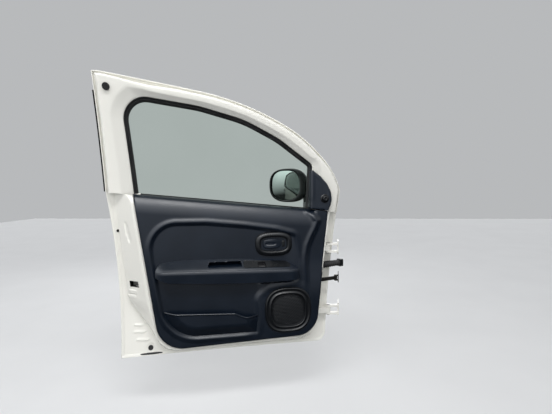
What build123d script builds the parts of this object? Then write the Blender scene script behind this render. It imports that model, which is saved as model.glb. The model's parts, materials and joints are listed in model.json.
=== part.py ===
"""Front left door of a five-door city car, complete with its hinges, check strap and mirror.

The door is modelled closed, as it hangs in the car, and turned about its hinges at the end.
Modelling frame, in millimetres: the hinge axis is x = 0, y = 0; +X runs to the rear of the car,
+Y inboard, +Z up, and z = 0 is the door's bottom edge. The stored frame has its origin midway
between the two hinges, on the face where their body leaves bolt to the pillar.
"""

from build123d import *
import math
import os

# Door as a whole
OPEN_ANGLE = 70.0
SKIN_TO_AXIS = 54.0  # outermost point of the skin to the hinge axis
PLAN_RADIUS = 9000.0  # bow of the door's side seen from above
PLAN_MIDDLE_X = 445.0
SIDE_WIDEST_Z = 345.0
SIDE_TUCK_IN = 36.0  # how far the bottom edge lies inboard of the widest line
SIDE_LOW_Z = -40.0
SIDE_SHOULDER = (20.0, 640.0)  # depth and height where the tumblehome starts
SIDE_TOP = (186.0, 1200.0)

# Outer outline, (x, z)
BOTTOM_REAR = (908.0, 0.0)
BOTTOM_FRONT = (17.0, 0.0)
REAR_MIDDLE = (921.0, 450.0)
REAR_BELT = (945.0, 690.0)
REAR_TOP = (952.0, 1155.0)
HEADER_MIDDLE = (776.0, 1130.0)
HEADER_BEND = (556.0, 1094.0)
PILLAR_TOP = (206.0, 972.0)
PILLAR_LOW = (16.0, 822.0)
FRONT_TOP = (-60.0, 690.0)
FRONT_CORNER_RADIUS = 40.0

# Belt line: the sill of the window
BELT_X = 99.0
BELT_Z = 607.0
BELT_SLOPE = 6.24
OPENING_REAR_X = 813.0

# Where the frame's pieces meet, (x, z)
UPRIGHT_JOINT = ((720.0, 1025.0), (1000.0, 1182.0))
LEG_JOINT = ((95.0, 500.0), (97.0, 798.0), (40.0, 897.0))

# Steel
SKIN_THICKNESS = 1.5
PANEL_THICKNESS = 1.6
HEM_INSET = 2.0
INNER_FACE_DEPTH = 111.0  # skin plane to the panel behind the trim
STEP_DEPTH = 40.0

# Inner panel's drawn tub, (x, z, corner radius): its mouth at the step and its face behind the trim
TUB_TOP = 760.0
MOUTH_LOW = (735.0, 14.0, 50.0)
MOUTH_REAR = (872.0, 250.0, 60.0)
MOUTH_TOP_X = 921.0
FACE_LOW = (712.0, 36.0, 70.0)
FACE_REAR = (776.0, 170.0, 110.0)
FACE_TOP_X = 850.0

# Window frame
FRAME_FLANGE = 16.0  # rim that shows around the frame's raised part
FRAME_RIM = 13.0  # thickness of that rim
FRAME_DEPTH = 50.0
FRAME_SHOULDER = 9.0

# Glass and seals
GLASS_DEPTH = 20.0
GLASS_THICKNESS = 3.6
GLASS_BITE = 9.0  # how far the glass reaches into the run channel
GLASS_GAP = 0.4
GLASS_BELOW_BELT = 45.0
SEAL_WIDTH = 16.0
SEAL_FROM = 8.0
SEAL_TO = 34.0

# Trim
TRIM_STAND = 13.0  # trim's face from the inner panel's face
TRIM_THICKNESS = 3.0
TRIM_EDGE = 5.0
RECESS_DEPTH = 9.0
SHOULDER = 48.0  # radius of the rolled sill
SHOULDER_START_X = 97.0
PANEL_FACE_Y = INNER_FACE_DEPTH - SKIN_TO_AXIS
TRIM_FACE_Y = PANEL_FACE_Y + TRIM_STAND
TRIM_FLOOR_Y = TRIM_FACE_Y - RECESS_DEPTH

# Hinges
LOWER_HINGE_Z = 145.0
UPPER_HINGE_Z = 430.0
CHECK_Z = 292.0
PIN_RADIUS = 5.0
PIN_CLEARANCE = 0.05
KNUCKLE_RADIUS = 10.0
KNUCKLE_HEIGHT = 24.0
EAR_THICKNESS = 9.0
EAR_GAP = 0.5
LEAF_THICKNESS = 6.0
LEAF_HEIGHT = 58.0
PILLAR_FACE_Y = 48.0
BOLT_RADIUS = 4.5
BODY_BOLT_X = (-70.0, -30.0)

# Check strap
CHECK_PIVOT = (-5.0, 35.0)
CHECK_SLOT_Y = 30.0
CHECK_SLOT = (10.0, 14.0)  # half width and half height of its opening in the front wall
CHECK_BAR = (5.0, 16.0)
CHECK_PIN_RADIUS = 3.0
CHECK_ARM_LENGTH = 115.0
CHECK_ANGLE_OPEN = -54.6

# Wiring between door and pillar
GAITER_Z = 355.0
GAITER_Y = 12.0
GAITER_RADIUS = 16.0
GAITER_END = (-58.8, -21.2)

# Latch
STRIKER_SLOT = (50.0, 25.0)
LATCH_Z = 317.0
LATCH_REACH = 43.0  # along the rear wall, from its outer edge to the slot's middle

# Pieces on the trim
TRIM_REAR_X = 833.0
TRIM_FRONT_X = 15.0
SILL_RISE = 3.3
INNER_SEAL_THICKNESS = 6.0
BEZEL = (262.0, 468.0)
BEZEL_RIM = (80.0, 53.0, 42.0)  # half length, half height, corner radius
BEZEL_CUP = (58.0, 34.0)
BEZEL_DEPTH = 27.0  # from the trim's floor to the back of the cup
SPEAKER = (204.0, 180.0)
SPEAKER_RIM = (102.0, 97.0, 66.0)
SPEAKER_CUT = 68.0
GRILLE_SLOTS = 13
GRILLE_PITCH = 9.0
GRILLE_SLOT = 3.5
ARMREST_OUT = 42.0  # armrest's crest from the trim's face
ARMREST_ENDS = (148.0, 758.0)
ARMREST_LOW_Z = 301.0
ARMREST_CREST_Z = 368.0
ARMREST_TOP_Z = 414.0
PULL_CUP = (472.0, 16.0, 142.0, 20.0, 352.0)  # middle x, middle from the trim's face, length, width, floor z
SWITCH_PLATE = (295.0, 196.0, 34.0, 2.4)  # middle x, length, width, thickness
SWITCH_X = 320.0
ROCKER = (38.0, 17.0, 7.0)
POCKET_OUT = 28.0
POCKET_WALL = 3.0
POCKET_DRAFT = 24.0
SAIL_LOW_BACK = 4.0  # sail cover behind the trim's face at the belt, and at its top
SAIL_HIGH_BACK = 13.0
SAIL_HEIGHT = 193.0
KNOB = (34.0, 657.0, 12.0)

# Outside
APPLIQUE_THICKNESS = 2.0
APPLIQUE_OVERHANG = 7.5
APPLIQUE_TOP = ((800.0, 1060.0), (1000.0, 1096.0))
FRAME_STOP = (899.0, 1091.0, 13.0)
HANDLE_X = 806.0
HANDLE_DROP = 17.0
HANDLE_Z = BELT_Z - HANDLE_DROP
HANDLE_LENGTH = 152.0
HANDLE_STAND = 38.0
DISH = (46.0, 32.0, 17.0)  # finger dish behind the handle: half length, half height, depth
MIRROR_PIVOT = (76.0, -80.0)
MIRROR_LOW_Z = 635.0
MIRROR_HEAD = (74.0, 210.0, 161.0)  # depth, width, height
MIRROR_CORNER = 62.0
MIRROR_BACK = 42.0
MIRROR_SHIFT = -92.0  # middle of the head from its pivot
MIRROR_PANE = (158.0, 139.0, 12.0)  # width, height, and how far its middle lies outside the head's
MIRROR_FACE_X = 26.0
MIRROR_TURN = 45.0

# Slot the window drops into
WINDOW_SLOT = (82.0, 840.0)

SEAT = 0.3  # gap that stands for two pieces bearing on each other

FAR = 400.0
MOUNT_ORIGIN = Vector(sum(BODY_BOLT_X) / 2, PILLAR_FACE_Y, (LOWER_HINGE_Z + UPPER_HINGE_Z) / 2)


def depth_y(depth):
    """y of a flat plane that lies this deep behind the outermost point of the skin."""
    return depth - SKIN_TO_AXIS


def belt_z(x):
    """Height of the belt line at x."""
    return BELT_Z + (x - BELT_X) * math.tan(math.radians(BELT_SLOPE))


def wall_x(z):
    """x of the inner panel's front wall, which leans forward as it rises."""
    low_x, low_z, high_x, high_z = 74.0, 110.0, -3.0, 680.0
    return low_x + (high_x - low_x) * (z - low_z) / (high_z - low_z)


def x_between(low, high, z):
    """x at height z on the line through two (x, z) points."""
    return low[0] + (high[0] - low[0]) * (z - low[1]) / (high[1] - low[1])


def point(xz, y=0.0):
    return Vector(xz[0], y, xz[1])


def line(a, b):
    return Edge.make_line(point(a), point(b))


def rounded(corners):
    """Face in the XZ plane from (x, z, corner radius) rows."""
    count = len(corners)
    edges = []
    ends = []
    for i, (x, z, radius) in enumerate(corners):
        here = Vector(x, 0, z)
        before = Vector(corners[i - 1][0], 0, corners[i - 1][1]) - here
        after = Vector(corners[(i + 1) % count][0], 0, corners[(i + 1) % count][1]) - here
        before, after = before.normalized(), after.normalized()
        half = math.radians(before.get_angle(after)) / 2
        if radius <= 0:
            ends.append((here, here))
            continue
        reach = radius / math.tan(half)
        start, stop = here + before * reach, here + after * reach
        bisector = (before + after).normalized()
        middle = here + bisector * (radius / math.sin(half) - radius)
        edges.append(Edge.make_three_point_arc(start, middle, stop))
        ends.append((start, stop))
    for i in range(count):
        a, b = ends[i][1], ends[(i + 1) % count][0]
        if (b - a).length > 1e-6:
            edges.append(Edge.make_line(a, b))
    return Face(Wire(edges))


def prism(face, y0, y1):
    """A face in the XZ plane pulled from y0 to y1."""
    return extrude(Pos(0, y0, 0) * face, amount=y1 - y0, dir=(0, 1, 0))


def grown(face, amount):
    """A face in the XZ plane with its outline moved outwards, or inwards if amount is negative."""
    return offset(face, amount=amount, kind=Kind.INTERSECTION)


def side_trace(depth):
    """The side's section at the plan middle, this deep behind the outer surface: edges and ends."""
    y0 = depth_y(depth)
    lower_radius = (SIDE_WIDEST_Z**2 + SIDE_TUCK_IN**2) / (2 * SIDE_TUCK_IN)
    low_reach = SIDE_WIDEST_Z - SIDE_LOW_Z
    low_s = lower_radius - math.sqrt(lower_radius**2 - low_reach**2)
    widest = Vector(PLAN_MIDDLE_X, y0, SIDE_WIDEST_Z)
    low = Vector(PLAN_MIDDLE_X, y0 + low_s, SIDE_LOW_Z)
    shoulder = Vector(PLAN_MIDDLE_X, y0 + SIDE_SHOULDER[0], SIDE_SHOULDER[1])
    top = Vector(PLAN_MIDDLE_X, y0 + SIDE_TOP[0], SIDE_TOP[1])
    lower = Edge.make_tangent_arc(widest, Vector(0, 0, -1), low)
    middle = Edge.make_tangent_arc(widest, Vector(0, 0, 1), shoulder)
    upper = Edge.make_tangent_arc(shoulder, middle % 1, top)
    return [lower, middle, upper], low, top


def layer(depth0, depth1):
    """Solid between two depths behind the door's curved outer surface."""
    near, near_low, near_top = side_trace(depth0)
    far, far_low, far_top = side_trace(depth1)
    ends = [Edge.make_line(near_low, far_low), Edge.make_line(near_top, far_top)]
    section = Face(Wire(near + far + ends))
    axis = Axis((PLAN_MIDDLE_X, depth_y(0) + PLAN_RADIUS, 0), (0, 0, 1))
    half = math.degrees(math.asin(640.0 / PLAN_RADIUS))
    return revolve(section.rotate(axis, -half), axis, revolution_arc=2 * half)


def outer_outline():
    """The whole door seen from the side, frame and all."""
    header = Edge.make_three_point_arc(point(REAR_TOP), point(HEADER_MIDDLE), point(HEADER_BEND))
    bend = Edge.make_tangent_arc(header @ 1, header % 1, point(PILLAR_TOP))
    pillar = Edge.make_tangent_arc(bend @ 1, bend % 1, point(PILLAR_LOW))
    nose = Edge.make_tangent_arc(pillar @ 1, pillar % 1, point(FRONT_TOP))
    rear = Edge.make_three_point_arc(point(BOTTOM_REAR), point(REAR_MIDDLE), point(REAR_BELT))
    front_low = (BOTTOM_FRONT[0] - 5.0, FRONT_CORNER_RADIUS)
    bottom_start = (BOTTOM_FRONT[0] + FRONT_CORNER_RADIUS * 0.8, 0.0)
    front = line(FRONT_TOP, front_low)
    corner = Edge.make_tangent_arc(front @ 1, front % 1, point(bottom_start))
    sides = [line(bottom_start, BOTTOM_REAR), rear, line(REAR_BELT, REAR_TOP)]
    return Face(Wire([*sides, header, bend, pillar, nose, front, corner]))


def belt_band(low, high):
    """The slice between two heights measured from the belt line."""
    left, right = -200.0, 1100.0
    corners = [
        (left, belt_z(left) + low, 0), (right, belt_z(right) + low, 0),
        (right, belt_z(right) + high, 0), (left, belt_z(left) + high, 0),
    ]
    return prism(rounded(corners), -FAR, FAR)


def window_opening():
    """Glass as it shows from inside. Its header runs parallel to the roof edge."""
    rows = [
        (BELT_X, belt_z(BELT_X) - 40, 0), (OPENING_REAR_X, belt_z(OPENING_REAR_X) - 40, 0), (841, 1060, 70),
        (566, 1021, 500), (384, 973, 500), (241, 901, 400), (97, 798, 12),
    ]
    return rounded(rows)


def shrunk(corners, amount):
    """Corner rows with every side moved inwards by amount."""
    out = []
    for i, (x, z, radius) in enumerate(corners):
        here = Vector(x, z)
        before = (Vector(*corners[i - 1][:2]) - here).normalized()
        after = (Vector(*corners[(i + 1) % len(corners)][:2]) - here).normalized()
        half = math.radians(before.get_angle(after)) / 2
        here += (before + after).normalized() * amount / math.sin(half)
        out.append((here.X, here.Y, max(radius - amount, 1.0) if radius else 0))
    return out


def tub_solid(inset):
    """The inner panel's drawn tub, smaller all round by inset: open outboard and at the belt."""
    front_top = (wall_x(TUB_TOP), TUB_TOP, 0)
    mouth = [(wall_x(16), 16, 42), MOUTH_LOW, MOUTH_REAR, (MOUTH_TOP_X, TUB_TOP, 0), front_top]
    face = [(wall_x(48), 48, 98), FACE_LOW, FACE_REAR, (FACE_TOP_X, TUB_TOP, 0), front_top]
    mouth, face = rounded(shrunk(mouth, inset)), rounded(shrunk(face, inset))
    step_y = depth_y(STEP_DEPTH)
    ends = [(Pos(0, step_y, 0) * mouth).outer_wire(), (Pos(0, PANEL_FACE_Y - inset, 0) * face).outer_wire()]
    return Solid.make_loft(ends, ruled=True) + prism(mouth, -150, step_y)


def sill_form(drop):
    """All that lies under the trim's rolled sill, with the surface lowered and set back by drop."""
    start_x = -200.0
    y, z = TRIM_FACE_Y - SHOULDER, belt_z(start_x) + SILL_RISE - SHOULDER
    radius = SHOULDER - drop
    bend = radius * math.sqrt(0.5)
    ends = [Vector(start_x, y, z + radius), Vector(start_x, y + radius, z)]
    roll = Edge.make_three_point_arc(ends[0], Vector(start_x, y + bend, z + bend), ends[1])
    low = -900.0
    top = z + radius
    corners = [ends[1], (start_x, y + radius, low), (start_x, -FAR, low), (start_x, -FAR, top), ends[0]]
    section = Face(Wire([roll, *Polyline(*corners).edges()]))
    rise = math.radians(BELT_SLOPE)
    rolled = extrude(section, amount=1500, dir=(math.cos(rise), 0, math.sin(rise)))
    front = box(start_x, SHOULDER_START_X - drop, -FAR, TRIM_FACE_Y - drop, -100, FAR * 2)
    return rolled + (front & belt_band(-900, SILL_RISE - drop))


OUTLINE = outer_outline()
OPENING = window_opening()
SEAL_OUTLINE = grown(OPENING, SEAL_WIDTH)
BELOW = belt_band(-900, 0)


def box(x0, x1, y0, y1, z0, z1):
    return Pos((x0 + x1) / 2, (y0 + y1) / 2, (z0 + z1) / 2) * Box(x1 - x0, y1 - y0, z1 - z0)


def through(outline):
    """A side outline carried right through the door."""
    return prism(outline, -FAR, FAR)


def centred(x, z, half_x, half_z, radius):
    """Rounded rectangle in the XZ plane."""
    return rounded([(x - half_x, z - half_z, radius), (x + half_x, z - half_z, radius),
                    (x + half_x, z + half_z, radius), (x - half_x, z + half_z, radius)])


def upright(x, y, z0, z1, radius):
    """Cylinder along Z."""
    return Pos(x, y, (z0 + z1) / 2) * Cylinder(radius, z1 - z0)


def cross(x, z, y0, y1, radius):
    """Cylinder along Y."""
    return Pos(x, (y0 + y1) / 2, z) * Rot(90, 0, 0) * Cylinder(radius, y1 - y0)


def plan_plate(corners, z0, z1):
    """Plate with the given (x, y) corners."""
    wire = Wire(Polyline(*[(x, y, z0) for x, y in corners], close=True).edges())
    return extrude(Face(wire), amount=z1 - z0, dir=(0, 0, 1))


def on_front_wall(z, half_z, y0, y1, thickness):
    """Plate lying on the outside of the inner panel's leaning front wall."""
    low, high = z - half_z, z + half_z
    corners = [
        (wall_x(low) - thickness, low, 0), (wall_x(low), low, 0),
        (wall_x(high), high, 0), (wall_x(high) - thickness, high, 0),
    ]
    return prism(rounded(corners), y0, y1)


def rear_wall_place():
    """Middle of the striker slot on the sloped rear wall, with local Y along the wall's normal."""
    step_y = depth_y(STEP_DEPTH)
    mouth_x = x_between(MOUTH_REAR, (MOUTH_TOP_X, TUB_TOP), LATCH_Z)
    face_x = x_between(FACE_REAR, (FACE_TOP_X, TUB_TOP), LATCH_Z)
    across = Vector(face_x - mouth_x, PANEL_FACE_Y - step_y)
    turn = math.atan2(across.Y, -across.X)
    mouth_lean = (MOUTH_TOP_X - MOUTH_REAR[0]) / (TUB_TOP - MOUTH_REAR[1])
    face_lean = (FACE_TOP_X - FACE_REAR[0]) / (TUB_TOP - FACE_REAR[1])
    lean = math.atan((mouth_lean + face_lean) / 2 * math.sin(turn))
    middle = Vector(mouth_x, step_y) + across.normalized() * LATCH_REACH
    return Pos(middle.X, middle.Y, LATCH_Z) * Rot(0, 0, -math.degrees(turn)) * Rot(-math.degrees(lean), 0, 0)


# Steel

def surface_y(x, z, depth=0.0):
    """y of the door's curved outer surface at (x, z), this deep behind it."""
    bow = PLAN_RADIUS - math.sqrt(PLAN_RADIUS**2 - (x - PLAN_MIDDLE_X) ** 2)
    if z < SIDE_WIDEST_Z:
        radius = (SIDE_WIDEST_Z**2 + SIDE_TUCK_IN**2) / (2 * SIDE_TUCK_IN)
        return depth_y(depth) + bow + radius - math.sqrt(radius**2 - (z - SIDE_WIDEST_Z) ** 2)
    rise = SIDE_SHOULDER[1] - SIDE_WIDEST_Z
    radius = (rise**2 + SIDE_SHOULDER[0] ** 2) / (2 * SIDE_SHOULDER[0])
    if z < SIDE_SHOULDER[1]:
        return depth_y(depth) + bow + radius - math.sqrt(radius**2 - (z - SIDE_WIDEST_Z) ** 2)
    start = math.asin(rise / radius)
    dz, ds = SIDE_TOP[1] - SIDE_SHOULDER[1], SIDE_TOP[0] - SIDE_SHOULDER[0]
    chord = math.atan2(ds, dz)
    upper = math.hypot(dz, ds) / (2 * math.sin(chord - start))
    angle = math.asin(math.sin(start) + (z - SIDE_SHOULDER[1]) / upper)
    return depth_y(depth) + bow + SIDE_SHOULDER[0] + upper * (math.cos(start) - math.cos(angle))


def make_outer_skin():
    shell = layer(0, SKIN_THICKNESS) & through(OUTLINE) & BELOW
    mouth = centred(HANDLE_X, HANDLE_Z, DISH[0], DISH[1], DISH[1] - 4)
    pan = layer(0.5, DISH[2]) & through(grown(mouth, SKIN_THICKNESS))
    hollow = layer(-5, DISH[2] - SKIN_THICKNESS) & through(mouth)
    return (shell - hollow) + (pan - hollow)


def striker_slot(depth0, depth1):
    """Block standing on the sloped rear wall at the latch, from depth0 to depth1 along its normal."""
    block = Box(STRIKER_SLOT[0], depth1 - depth0, STRIKER_SLOT[1])
    return rear_wall_place() * Pos(0, (depth0 + depth1) / 2, 0) * block


def bezel_cut():
    """Hole in trim and panel for the release handle's cup."""
    hole = centred(BEZEL[0], BEZEL[1], BEZEL_CUP[0] + 3, BEZEL_CUP[1] + 3, 22)
    return prism(hole, 0, TRIM_FACE_Y + 20)


def speaker_cut():
    hole = centred(SPEAKER[0], SPEAKER[1], SPEAKER_CUT, SPEAKER_CUT, SPEAKER_CUT - 1)
    return prism(hole, 30, TRIM_FACE_Y + 20)


def make_inner_panel():
    under_trim = TRIM_THICKNESS + SEAT
    outside = tub_solid(0) & sill_form(under_trim)
    hollow = tub_solid(PANEL_THICKNESS) & sill_form(under_trim + PANEL_THICKNESS)
    tub = (outside - hollow) & layer(SKIN_THICKNESS, 250)
    flange = layer(SKIN_THICKNESS, SKIN_THICKNESS + PANEL_THICKNESS) & through(grown(OUTLINE, -HEM_INSET))
    panel = tub + ((flange & BELOW) - tub_solid(PANEL_THICKNESS))
    drop_slot = layer(0, belt_seal_end() + SEAT) & box(*WINDOW_SLOT, -FAR, FAR, 500, 800)
    panel -= drop_slot & belt_band(-SHOULDER, SHOULDER)
    return panel - bezel_cut() - speaker_cut() - striker_slot(-30, 30) - check_opening(*CHECK_SLOT)


def make_frame():
    """Header, rear upright and front leg of the window frame."""
    rim = layer(0, FRAME_RIM) & through(OUTLINE)
    bulge = layer(FRAME_RIM - 1, FRAME_DEPTH - FRAME_SHOULDER) & through(grown(OUTLINE, -FRAME_FLANGE))
    crown = layer(FRAME_DEPTH - FRAME_SHOULDER - 1, FRAME_DEPTH)
    crown = crown & through(grown(OUTLINE, -FRAME_FLANGE - FRAME_SHOULDER))
    frame = (rim + bulge + crown) - through(SEAL_OUTLINE) - BELOW
    (x0, z0), (x1, z1) = UPRIGHT_JOINT
    rear_area = through(rounded([(x0, 500, 0), (x1, 500, 0), (x1, z1, 0), (x0, z0, 0)]))
    leg_rows = [(x, z, 0) for x, z in LEG_JOINT]
    front_area = through(rounded([(-200, 500, 0), *leg_rows, (-200, LEG_JOINT[-1][1], 0)]))
    return {
        "frame_header": frame - rear_area - front_area,
        "frame_rear_upright": frame & rear_area,
        "frame_front_leg": frame & front_area,
    }


def make_pillar_applique():
    strip = layer(-APPLIQUE_THICKNESS, 0) & through(grown(OUTLINE, APPLIQUE_OVERHANG))
    strip -= through(SEAL_OUTLINE)
    (x0, z0), (x1, z1) = APPLIQUE_TOP
    area = rounded([(x0, belt_z(x0) + 2, 0), (x1, belt_z(x1) + 2, 0), (x1, z1, 0), (x0, z0, 0)])
    return strip & through(area)


# Glass and seals

def make_window_glass():
    x0, x1 = BELT_X, OPENING_REAR_X + 2.5
    x0, x1 = x0 - GLASS_BITE, x1 + GLASS_BITE
    low = GLASS_BELOW_BELT
    sill = rounded([(x0, belt_z(x0) - low, 12), (x1, belt_z(x1) - low, 12), (x1, belt_z(x1) - 10, 0),
                    (x0, belt_z(x0) - 10, 0)])
    shape = through(grown(OPENING, GLASS_BITE)) + through(sill)
    return layer(GLASS_DEPTH, GLASS_DEPTH + GLASS_THICKNESS) & shape


def make_glass_run_seal():
    ring = through(grown(OPENING, SEAL_WIDTH - 0.2)) - through(OPENING)
    channel = layer(GLASS_DEPTH - GLASS_GAP, GLASS_DEPTH + GLASS_THICKNESS + GLASS_GAP)
    channel = channel & through(grown(OPENING, GLASS_BITE + 1))
    return ((layer(SEAL_FROM, SEAL_TO) & ring) - channel) - belt_band(-900, SEAT)


def belt_length():
    """The stretch of the belt between the frame's leg and its rear upright."""
    return box(BELT_X + 1, OPENING_REAR_X + 1, -FAR, FAR, 500, 800)


def belt_seal_end():
    """Depth of the inner belt seal's inboard side."""
    return GLASS_DEPTH + GLASS_THICKNESS + GLASS_GAP + INNER_SEAL_THICKNESS


def make_outer_belt_seal():
    lip = layer(-1.5, GLASS_DEPTH - GLASS_GAP) & belt_band(SEAT, 7)
    root = layer(SKIN_THICKNESS + SEAT, GLASS_DEPTH - GLASS_GAP) & belt_band(-14, SEAT + 1)
    return (lip + root) & belt_length()


def make_inner_belt_seal():
    return layer(belt_seal_end() - INNER_SEAL_THICKNESS, belt_seal_end()) & belt_band(-14, 6) & belt_length()


# Hinges and check strap

def make_body_leaf(z):
    low, high = z - LEAF_HEIGHT / 2, z + LEAF_HEIGHT / 2
    leaf = box(BODY_BOLT_X[0] - 14, -6, PILLAR_FACE_Y - LEAF_THICKNESS, PILLAR_FACE_Y, low, high)
    leaf = fillet(leaf.edges().filter_by(Axis.Y).group_by(Axis.X)[0], 9)
    start = KNUCKLE_HEIGHT / 2 + EAR_GAP
    for side in (-1, 1):
        z0, z1 = sorted((z + side * start, z + side * (start + EAR_THICKNESS)))
        radius, face = KNUCKLE_RADIUS, PILLAR_FACE_Y
        ear = plan_plate([(-20, face), (-20, 34), (-radius, 0), (radius, 0), (6, 30), (-2, face)], z0, z1)
        leaf = leaf + (ear + upright(0, 0, z0, z1, KNUCKLE_RADIUS))
    leaf -= upright(0, 0, low - 10, high + 10, PIN_RADIUS + PIN_CLEARANCE)
    for x in BODY_BOLT_X:
        leaf -= cross(x, z, 0, 100, BOLT_RADIUS)
    return leaf


def make_door_leaf(z):
    plate = on_front_wall(z, LEAF_HEIGHT / 2, -22, 28, LEAF_THICKNESS)
    z0, z1 = z - KNUCKLE_HEIGHT / 2, z + KNUCKLE_HEIGHT / 2
    reach = wall_x(z) - LEAF_THICKNESS / 2
    arm = plan_plate([(0, -KNUCKLE_RADIUS), (reach, -15), (reach, 15), (0, KNUCKLE_RADIUS)], z0, z1)
    arm = arm & on_front_wall(z, LEAF_HEIGHT / 2, -60, 60, 200)
    leaf = plate + arm + upright(0, 0, z0, z1, KNUCKLE_RADIUS)
    return leaf - upright(0, 0, z0 - 5, z1 + 5, PIN_RADIUS + PIN_CLEARANCE)


def make_pin(z):
    end = KNUCKLE_HEIGHT / 2 + EAR_GAP + EAR_THICKNESS
    shank = upright(0, 0, z - end - 4, z + end + 0.5, PIN_RADIUS)
    head = upright(0, 0, z + end + SEAT, z + end + SEAT + 3.5, PIN_RADIUS + 3)
    clip = upright(0, 0, z - end - 2.5, z - end - SEAT, PIN_RADIUS + 2)
    return shank + head + clip


def check_opening(half_y, half_z):
    return box(20, 90, CHECK_SLOT_Y - half_y, CHECK_SLOT_Y + half_y, CHECK_Z - half_z, CHECK_Z + half_z)


def make_check_guide():
    reach = CHECK_SLOT[0] + 4
    plate = on_front_wall(CHECK_Z, CHECK_SLOT[1] + 12, CHECK_SLOT_Y - reach, CHECK_SLOT_Y + reach, 3)
    return plate - check_opening(CHECK_SLOT[0], CHECK_SLOT[1])


def make_check_bracket():
    px, py = CHECK_PIVOT
    leaf = box(px - 46, px + 8, PILLAR_FACE_Y - 4, PILLAR_FACE_Y, CHECK_Z - 20, CHECK_Z + 20)
    gap = CHECK_BAR[1] / 2 + EAR_GAP
    for side in (-1, 1):
        z0, z1 = sorted((CHECK_Z + side * gap, CHECK_Z + side * (gap + 4)))
        ear = box(px - 8, px + 8, py, PILLAR_FACE_Y - 1, z0, z1) + upright(px, py, z0, z1, 8)
        leaf += ear
    leaf -= upright(px, py, CHECK_Z - 40, CHECK_Z + 40, CHECK_PIN_RADIUS + PIN_CLEARANCE)
    return leaf - cross(px - 30, CHECK_Z, 0, 100, 4.5)


def make_check_pin():
    px, py = CHECK_PIVOT
    end = CHECK_BAR[1] / 2 + EAR_GAP + 4
    return upright(px, py, CHECK_Z - end - 2, CHECK_Z + end + 1, CHECK_PIN_RADIUS) + upright(
        px, py, CHECK_Z + end + SEAT, CHECK_Z + end + 3, CHECK_PIN_RADIUS + 2.5)


def make_check_arm():
    px, py = CHECK_PIVOT
    half = CHECK_BAR[1] / 2
    arm = box(0, CHECK_ARM_LENGTH, -CHECK_BAR[0] / 2, CHECK_BAR[0] / 2, -half, half)
    arm += upright(0, 0, -half, half, 7)
    arm += box(CHECK_ARM_LENGTH - 12, CHECK_ARM_LENGTH, -6, 6, -half - 4, half + 4)
    arm -= upright(0, 0, -40, 40, CHECK_PIN_RADIUS + PIN_CLEARANCE)
    return Pos(px, py, CHECK_Z) * Rot(0, 0, CHECK_ANGLE_OPEN) * arm


def make_wiring_gaiter():
    start = Vector(wall_x(GAITER_Z) - 2, GAITER_Y, GAITER_Z)
    end = Vector(*GAITER_END, GAITER_Z)
    length = (end - start).length
    folds = 7
    step = (length - 20) / folds
    points = [(0, -6), (GAITER_RADIUS, -6), (GAITER_RADIUS, 6)]
    for i in range(folds):
        start_z = 8 + step * i
        points.append((GAITER_RADIUS - 5, start_z + step * 0.4))
        points.append((GAITER_RADIUS - i * 0.35, start_z + step * 0.9))
    points += [(GAITER_RADIUS - 3, length - 6), (GAITER_RADIUS - 3, length), (0, length)]
    profile = Face(Wire(Polyline(*[(r, 0, a) for r, a in points], close=True).edges()))
    bellows = revolve(profile, Axis.Z, revolution_arc=360)
    angle = math.degrees(math.atan2(end.Y - start.Y, end.X - start.X))
    bellows = Pos(*start) * Rot(0, 0, angle) * Rot(0, 90, 0) * bellows
    foot = on_front_wall(GAITER_Z, 24, GAITER_Y - 24, GAITER_Y + 24, 4)
    clear = on_front_wall(GAITER_Z, 60, -90, 90, 300)
    return (bellows + foot) & clear


def make_wiring_plug():
    start = Vector(wall_x(GAITER_Z) - 2, GAITER_Y, GAITER_Z)
    end = Vector(*GAITER_END, GAITER_Z)
    angle = math.degrees(math.atan2(end.Y - start.Y, end.X - start.X))
    plug = box(SEAT, 16, -14, 14, -17, 17)
    plug = fillet(plug.edges().filter_by(Axis.X), 5)
    return Pos(*end) * Rot(0, 0, angle) * plug


# Latch

def make_latch_case():
    place = rear_wall_place()
    case = place * Pos(-4, -PANEL_THICKNESS - 0.9 - 9, 0) * Box(74, 18, 88)
    return case - striker_slot(-24, 5) - place * Pos(-12, -14, 0) * Box(66, 8, 44)


def make_latch_claw():
    claw = Cylinder(17, 5) - Pos(14, 0, 0) * Box(26, 9, 8)
    return rear_wall_place() * Pos(-16, -13, 0) * Rot(90, 0, 0) * claw


# Trim

def trim_outline():
    return rounded([
        (TRIM_REAR_X, belt_z(TRIM_REAR_X) + SILL_RISE, 10), (743, 42, 112), (89, 64, 100),
        (TRIM_FRONT_X, belt_z(TRIM_FRONT_X) + SILL_RISE, 6),
    ])


def trim_recess():
    return rounded([
        (138, 530, 60), (140, 290, 14), (312, 284, 14), (318, 74, 14), (640, 84, 70), (716, 146, 80),
        (762, 268, 200), (794, 582, 60),
    ])


def make_door_trim():
    panel_y = PANEL_FACE_Y + SEAT
    outline, recess = trim_outline(), trim_recess()
    body = prism(outline, panel_y, TRIM_FACE_Y)
    body = fillet(body.edges().group_by(Axis.Y)[-1], TRIM_EDGE)
    body -= prism(recess, TRIM_FLOOR_Y, TRIM_FACE_Y + 5)
    void = prism(grown(outline, -TRIM_THICKNESS), panel_y - 5, TRIM_FACE_Y - TRIM_THICKNESS)
    void -= prism(grown(recess, TRIM_THICKNESS), TRIM_FLOOR_Y - TRIM_THICKNESS, TRIM_FACE_Y)
    shell = (body & sill_form(0)) - (void & sill_form(TRIM_THICKNESS))
    sill = layer(belt_seal_end() + SEAT, 300) & (sill_form(0) - sill_form(TRIM_THICKNESS))
    sill = sill & belt_band(-SHOULDER, SILL_RISE) & belt_length() & box(0, 900, -FAR, panel_y + 1, 400, 900)
    return shell + sill - bezel_cut() - speaker_cut()


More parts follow.
